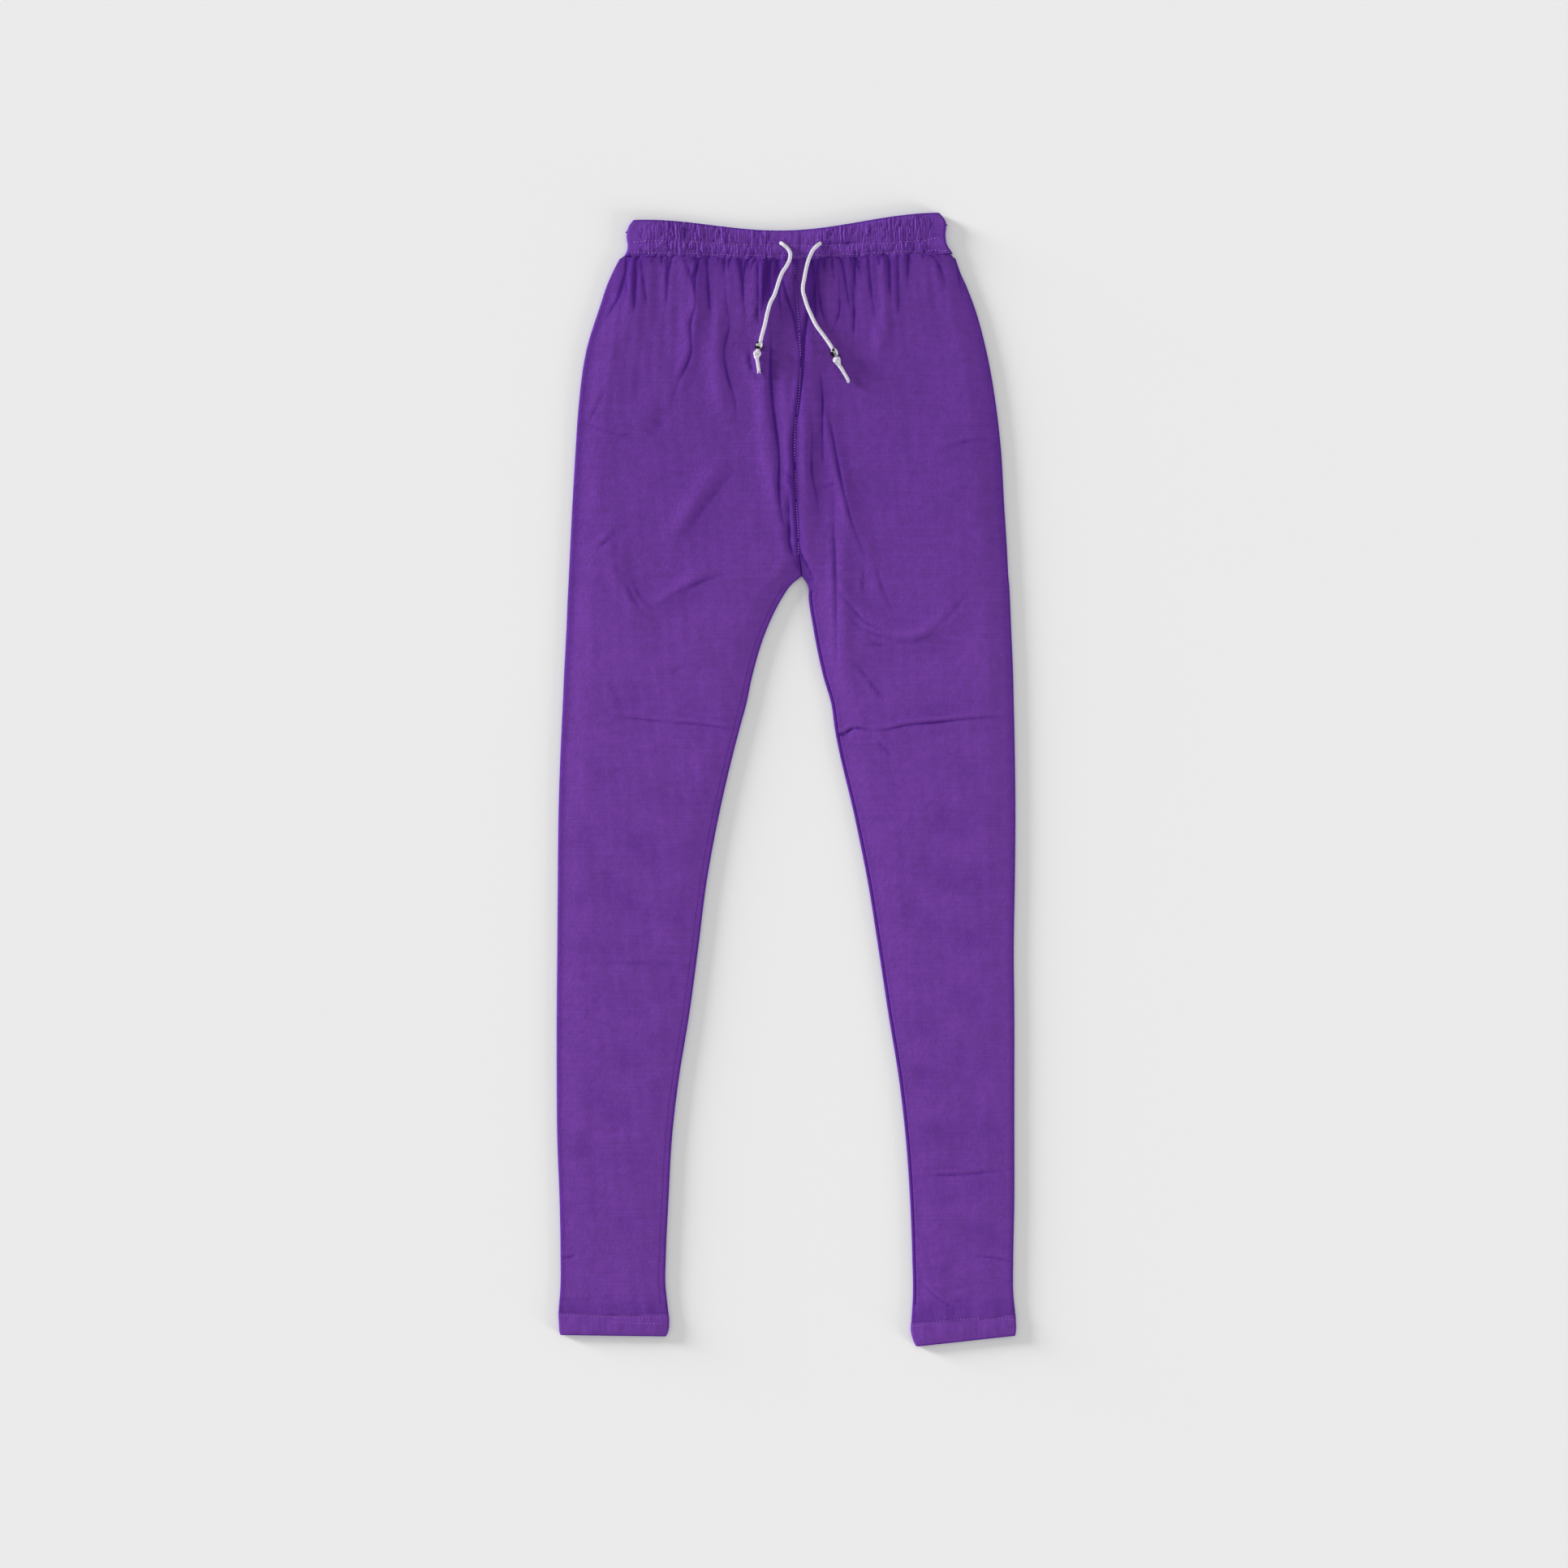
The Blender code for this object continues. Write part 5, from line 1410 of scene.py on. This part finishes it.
def bead_finish(colour):
    """Plated metal, brushed and lightly scuffed, with a painted highlight: its colour is brightest on the
    facets that face one side and near black on the rest.
    """
    material, tree, shader, spot = new_finish("bead_plated_metal", 0.22, metallic=1.0, specular=0.5)
    scuffs = noise(tree, spot, scale=900.0, detail=4.0, roughness=0.7)
    facet = attribute(tree, "facet")
    # Painted highlight: facets that face one side are made bright, the rest near black.
    painted_highlight = map_range(tree, facet, from_min=0.82, from_max=0.95, to_min=0.05, to_max=4.5)
    value = multiply(tree, centred(tree, scuffs, 0.15), painted_highlight)
    rough = calc(tree, "ADD", multiply(tree, scuffs, 0.2), 0.12)
    bump = bumped(tree, scuffs, strength=0.2, distance=0.0001)
    link_finish(tree, shader, base_color=shaded(tree, colour, value), roughness=rough, normal=bump)
    return material


def thread_finish(name, colour):
    """Polyester sewing thread: a tight matt twist."""
    material, tree, shader, spot = new_finish(name, 0.75, specular=0.2)
    twist = noise(tree, spot, scale=2600.0, detail=1.0)
    link_finish(tree, shader, base_color=shaded(tree, colour, centred(tree, twist, 0.3)))
    return material


def floor_finish(colour):
    """A plain matt studio floor."""
    material, tree, shader, spot = new_finish("studio_floor", 0.95, specular=0.0)
    value = centred(tree, noise(tree, spot, scale=3.0), 0.002)
    link_finish(tree, shader, base_color=shaded(tree, colour, value))
    return material


class PantsSizes(bpy.types.PropertyGroup):
    """Sizes of the cloth, the cord and the sewing."""

    wale: bpy.props.FloatProperty(
        name="Knit column", description="Width of one column of knit loops", default=0.0011, unit="LENGTH"
    )
    course: bpy.props.FloatProperty(
        name="Knit row", description="Height of one row of knit loops", default=0.0009, unit="LENGTH"
    )
    cord_diameter: bpy.props.FloatProperty(
        name="Cord diameter", description="Diameter of the drawstring", default=0.0034, unit="LENGTH"
    )
    stitch_length: bpy.props.FloatProperty(
        name="Stitch length", description="Length of one stitch", default=0.0018, unit="LENGTH"
    )
    stitch_gap: bpy.props.FloatProperty(
        name="Stitch gap", description="Gap between two stitches", default=0.0013, unit="LENGTH"
    )
    thread_diameter: bpy.props.FloatProperty(
        name="Thread diameter", description="Diameter of the sewing thread", default=0.00052, unit="LENGTH"
    )


class PantsColours(bpy.types.PropertyGroup):
    """Colours of the cloth, the cord, the bead, the thread and the stage."""

    jersey: bpy.props.FloatVectorProperty(
        name="Jersey", description="Dye of the knit cloth", default=(0.133, 0.0326, 0.283), subtype="COLOR"
    )
    # The waistband's dye is set bluer than the legs', partly as painted shade standing in for the bluish
    # shade among its gathers.
    casing: bpy.props.FloatVectorProperty(
        name="Waistband", description="Dye of the waistband", default=(0.128, 0.0318, 0.298), subtype="COLOR"
    )
    cord: bpy.props.FloatVectorProperty(
        name="Cord", description="Colour of the drawstring", default=(0.66, 0.63, 0.70), subtype="COLOR"
    )
    bead: bpy.props.FloatVectorProperty(
        name="Bead", description="Colour of the bead's plating", default=(0.24, 0.24, 0.26), subtype="COLOR"
    )
    thread: bpy.props.FloatVectorProperty(
        name="Thread", description="Colour of the sewing thread", default=(0.29, 0.125, 0.47), subtype="COLOR"
    )
    floor: bpy.props.FloatVectorProperty(
        name="Floor", description="Colour of the floor", default=(0.80, 0.80, 0.80), subtype="COLOR"
    )


class PANTS_OT_stage(bpy.types.Operator):
    """Set the camera straight above, with a pale floor and soft light from the upper left"""

    bl_idname = "pants.stage"
    bl_label = "Stage"

    def execute(self, context):
        scene = context.scene
        scene.view_settings.view_transform = "Standard"
        lens = bpy.data.cameras.new("camera_above")
        lens.lens = SENSOR_WIDTH * CAMERA_HEIGHT / FRAME_WIDTH
        camera = bpy.data.objects.new("camera_above", lens)
        camera.location = (*FRAME_CENTRE, CAMERA_HEIGHT)
        scene.collection.objects.link(camera)
        scene.camera = camera
        plan = FLOOR_HALF_WIDTH * np.array(((-1.0, -1.0), (1.0, -1.0), (1.0, 1.0), (-1.0, 1.0)))
        corners = np.column_stack((plan, np.full(4, FLOOR_HEIGHT)))
        floor = add_mesh("studio_floor", corners, [[0, 1, 2, 3]])
        floor.data.materials.append(floor_finish(scene.pants_colours.floor))
        for name, strength, angle, elevation, azimuth in SUNS:
            sun = bpy.data.lights.new(name, "SUN")
            sun.energy = strength
            sun.angle = math.radians(angle)
            light = bpy.data.objects.new(name, sun)
            light.rotation_euler = (math.radians(90.0 - elevation), 0.0, math.radians(azimuth))
            scene.collection.objects.link(light)
        world = bpy.data.worlds.new("studio_air")
        world.use_nodes = True
        sky = world.node_tree.nodes["Background"]
        sky.inputs["Color"].default_value = (1.0, 1.0, 1.0, 1.0)
        ray = add_node(world.node_tree, "ShaderNodeLightPath").outputs["Is Camera Ray"]
        seen = calc(world.node_tree, "MULTIPLY", ray, BACKDROP_LIGHT - AIR_LIGHT)
        world.node_tree.links.new(calc(world.node_tree, "ADD", seen, AIR_LIGHT), sky.inputs["Strength"])
        scene.world = world
        return {"FINISHED"}


class PANTS_OT_drawstring(bpy.types.Operator):
    """Make both free ends of the drawstring, with their beads, knots and frayed ends"""

    bl_idname = "pants.drawstring"
    bl_label = "Drawstring"

    def execute(self, context):
        colours = context.scene.pants_colours
        materials = {"cord": cord_finish(colours.cord), "bead": bead_finish(colours.bead)}
        for string in DRAWSTRINGS:
            make_drawstring(string, materials, context.scene.pants_sizes)
        return {"FINISHED"}


class PANTS_OT_legs(bpy.types.Operator):
    """Make the two legs of fine jersey, with their folds, gathers and creases"""

    bl_idname = "pants.legs"
    bl_label = "Legs"

    def execute(self, context):
        scene = context.scene
        jersey = jersey_finish("purple_jersey", scene.pants_colours.jersey, scene.pants_sizes)
        for leg in LEGS:
            make_leg(leg, jersey)
        return {"FINISHED"}


class PANTS_OT_waistband(bpy.types.Operator):
    """Make the gathered elastic waistband with the drawstring's eyelets"""

    bl_idname = "pants.waistband"
    bl_label = "Waistband"

    def execute(self, context):
        scene = context.scene
        jersey = jersey_finish("purple_jersey_gathered", scene.pants_colours.casing, scene.pants_sizes)
        make_waistband(jersey)
        return {"FINISHED"}


class PANTS_OT_hems(bpy.types.Operator):
    """Make the turned and stitched hems at the ankles"""

    bl_idname = "pants.hems"
    bl_label = "Hems"

    def execute(self, context):
        scene = context.scene
        jersey = jersey_finish("purple_jersey_turned", scene.pants_colours.jersey, scene.pants_sizes)
        for leg in LEGS:
            make_hem(leg, jersey)
        return {"FINISHED"}


class PANTS_OT_stitching(bpy.types.Operator):
    """Set the rows of stitches down on the cloth"""

    bl_idname = "pants.stitching"
    bl_label = "Stitching"

    def execute(self, context):
        scene = context.scene
        materials = {
            "topstitch": thread_finish("pale_purple_thread", scene.pants_colours.thread),
            "inseam": thread_finish("purple_thread", scene.pants_colours.jersey),
        }
        make_stitching(materials, scene.pants_sizes)
        return {"FINISHED"}


class PANTS_PT_pieces(bpy.types.Panel):
    """Lists the sizes, the colours and a button for each group of pieces"""

    bl_idname = "PANTS_PT_pieces"
    bl_label = "Churidar pants"
    bl_space_type = "VIEW_3D"
    bl_region_type = "UI"
    bl_category = "Pants"

    def draw(self, context):
        for group in (context.scene.pants_sizes, context.scene.pants_colours):
            box = self.layout.box()
            for name in group.bl_rna.properties.keys():
                if name not in ("rna_type", "name"):
                    box.prop(group, name)
        for operator in OPERATORS:
            self.layout.operator(operator.bl_idname)


OPERATORS = (
    PANTS_OT_stage,
    PANTS_OT_drawstring,
    PANTS_OT_legs,
    PANTS_OT_waistband,
    PANTS_OT_hems,
    PANTS_OT_stitching,
)
CLASSES = (PantsSizes, PantsColours, *OPERATORS, PANTS_PT_pieces)


def register():
    """Adds the settings, the operators and the panel."""
    for part in CLASSES:
        bpy.utils.register_class(part)
    bpy.types.Scene.pants_sizes = bpy.props.PointerProperty(type=PantsSizes)
    bpy.types.Scene.pants_colours = bpy.props.PointerProperty(type=PantsColours)


def unregister():
    """Takes away what register adds."""
    del bpy.types.Scene.pants_colours
    del bpy.types.Scene.pants_sizes
    for part in reversed(CLASSES):
        bpy.utils.unregister_class(part)


def main():
    """Makes the stage and every piece."""
    register()
    bpy.ops.pants.stage()
    bpy.ops.pants.drawstring()
    bpy.ops.pants.legs()
    bpy.ops.pants.waistband()
    bpy.ops.pants.hems()
    bpy.ops.pants.stitching()


if __name__ == "__main__":
    main()
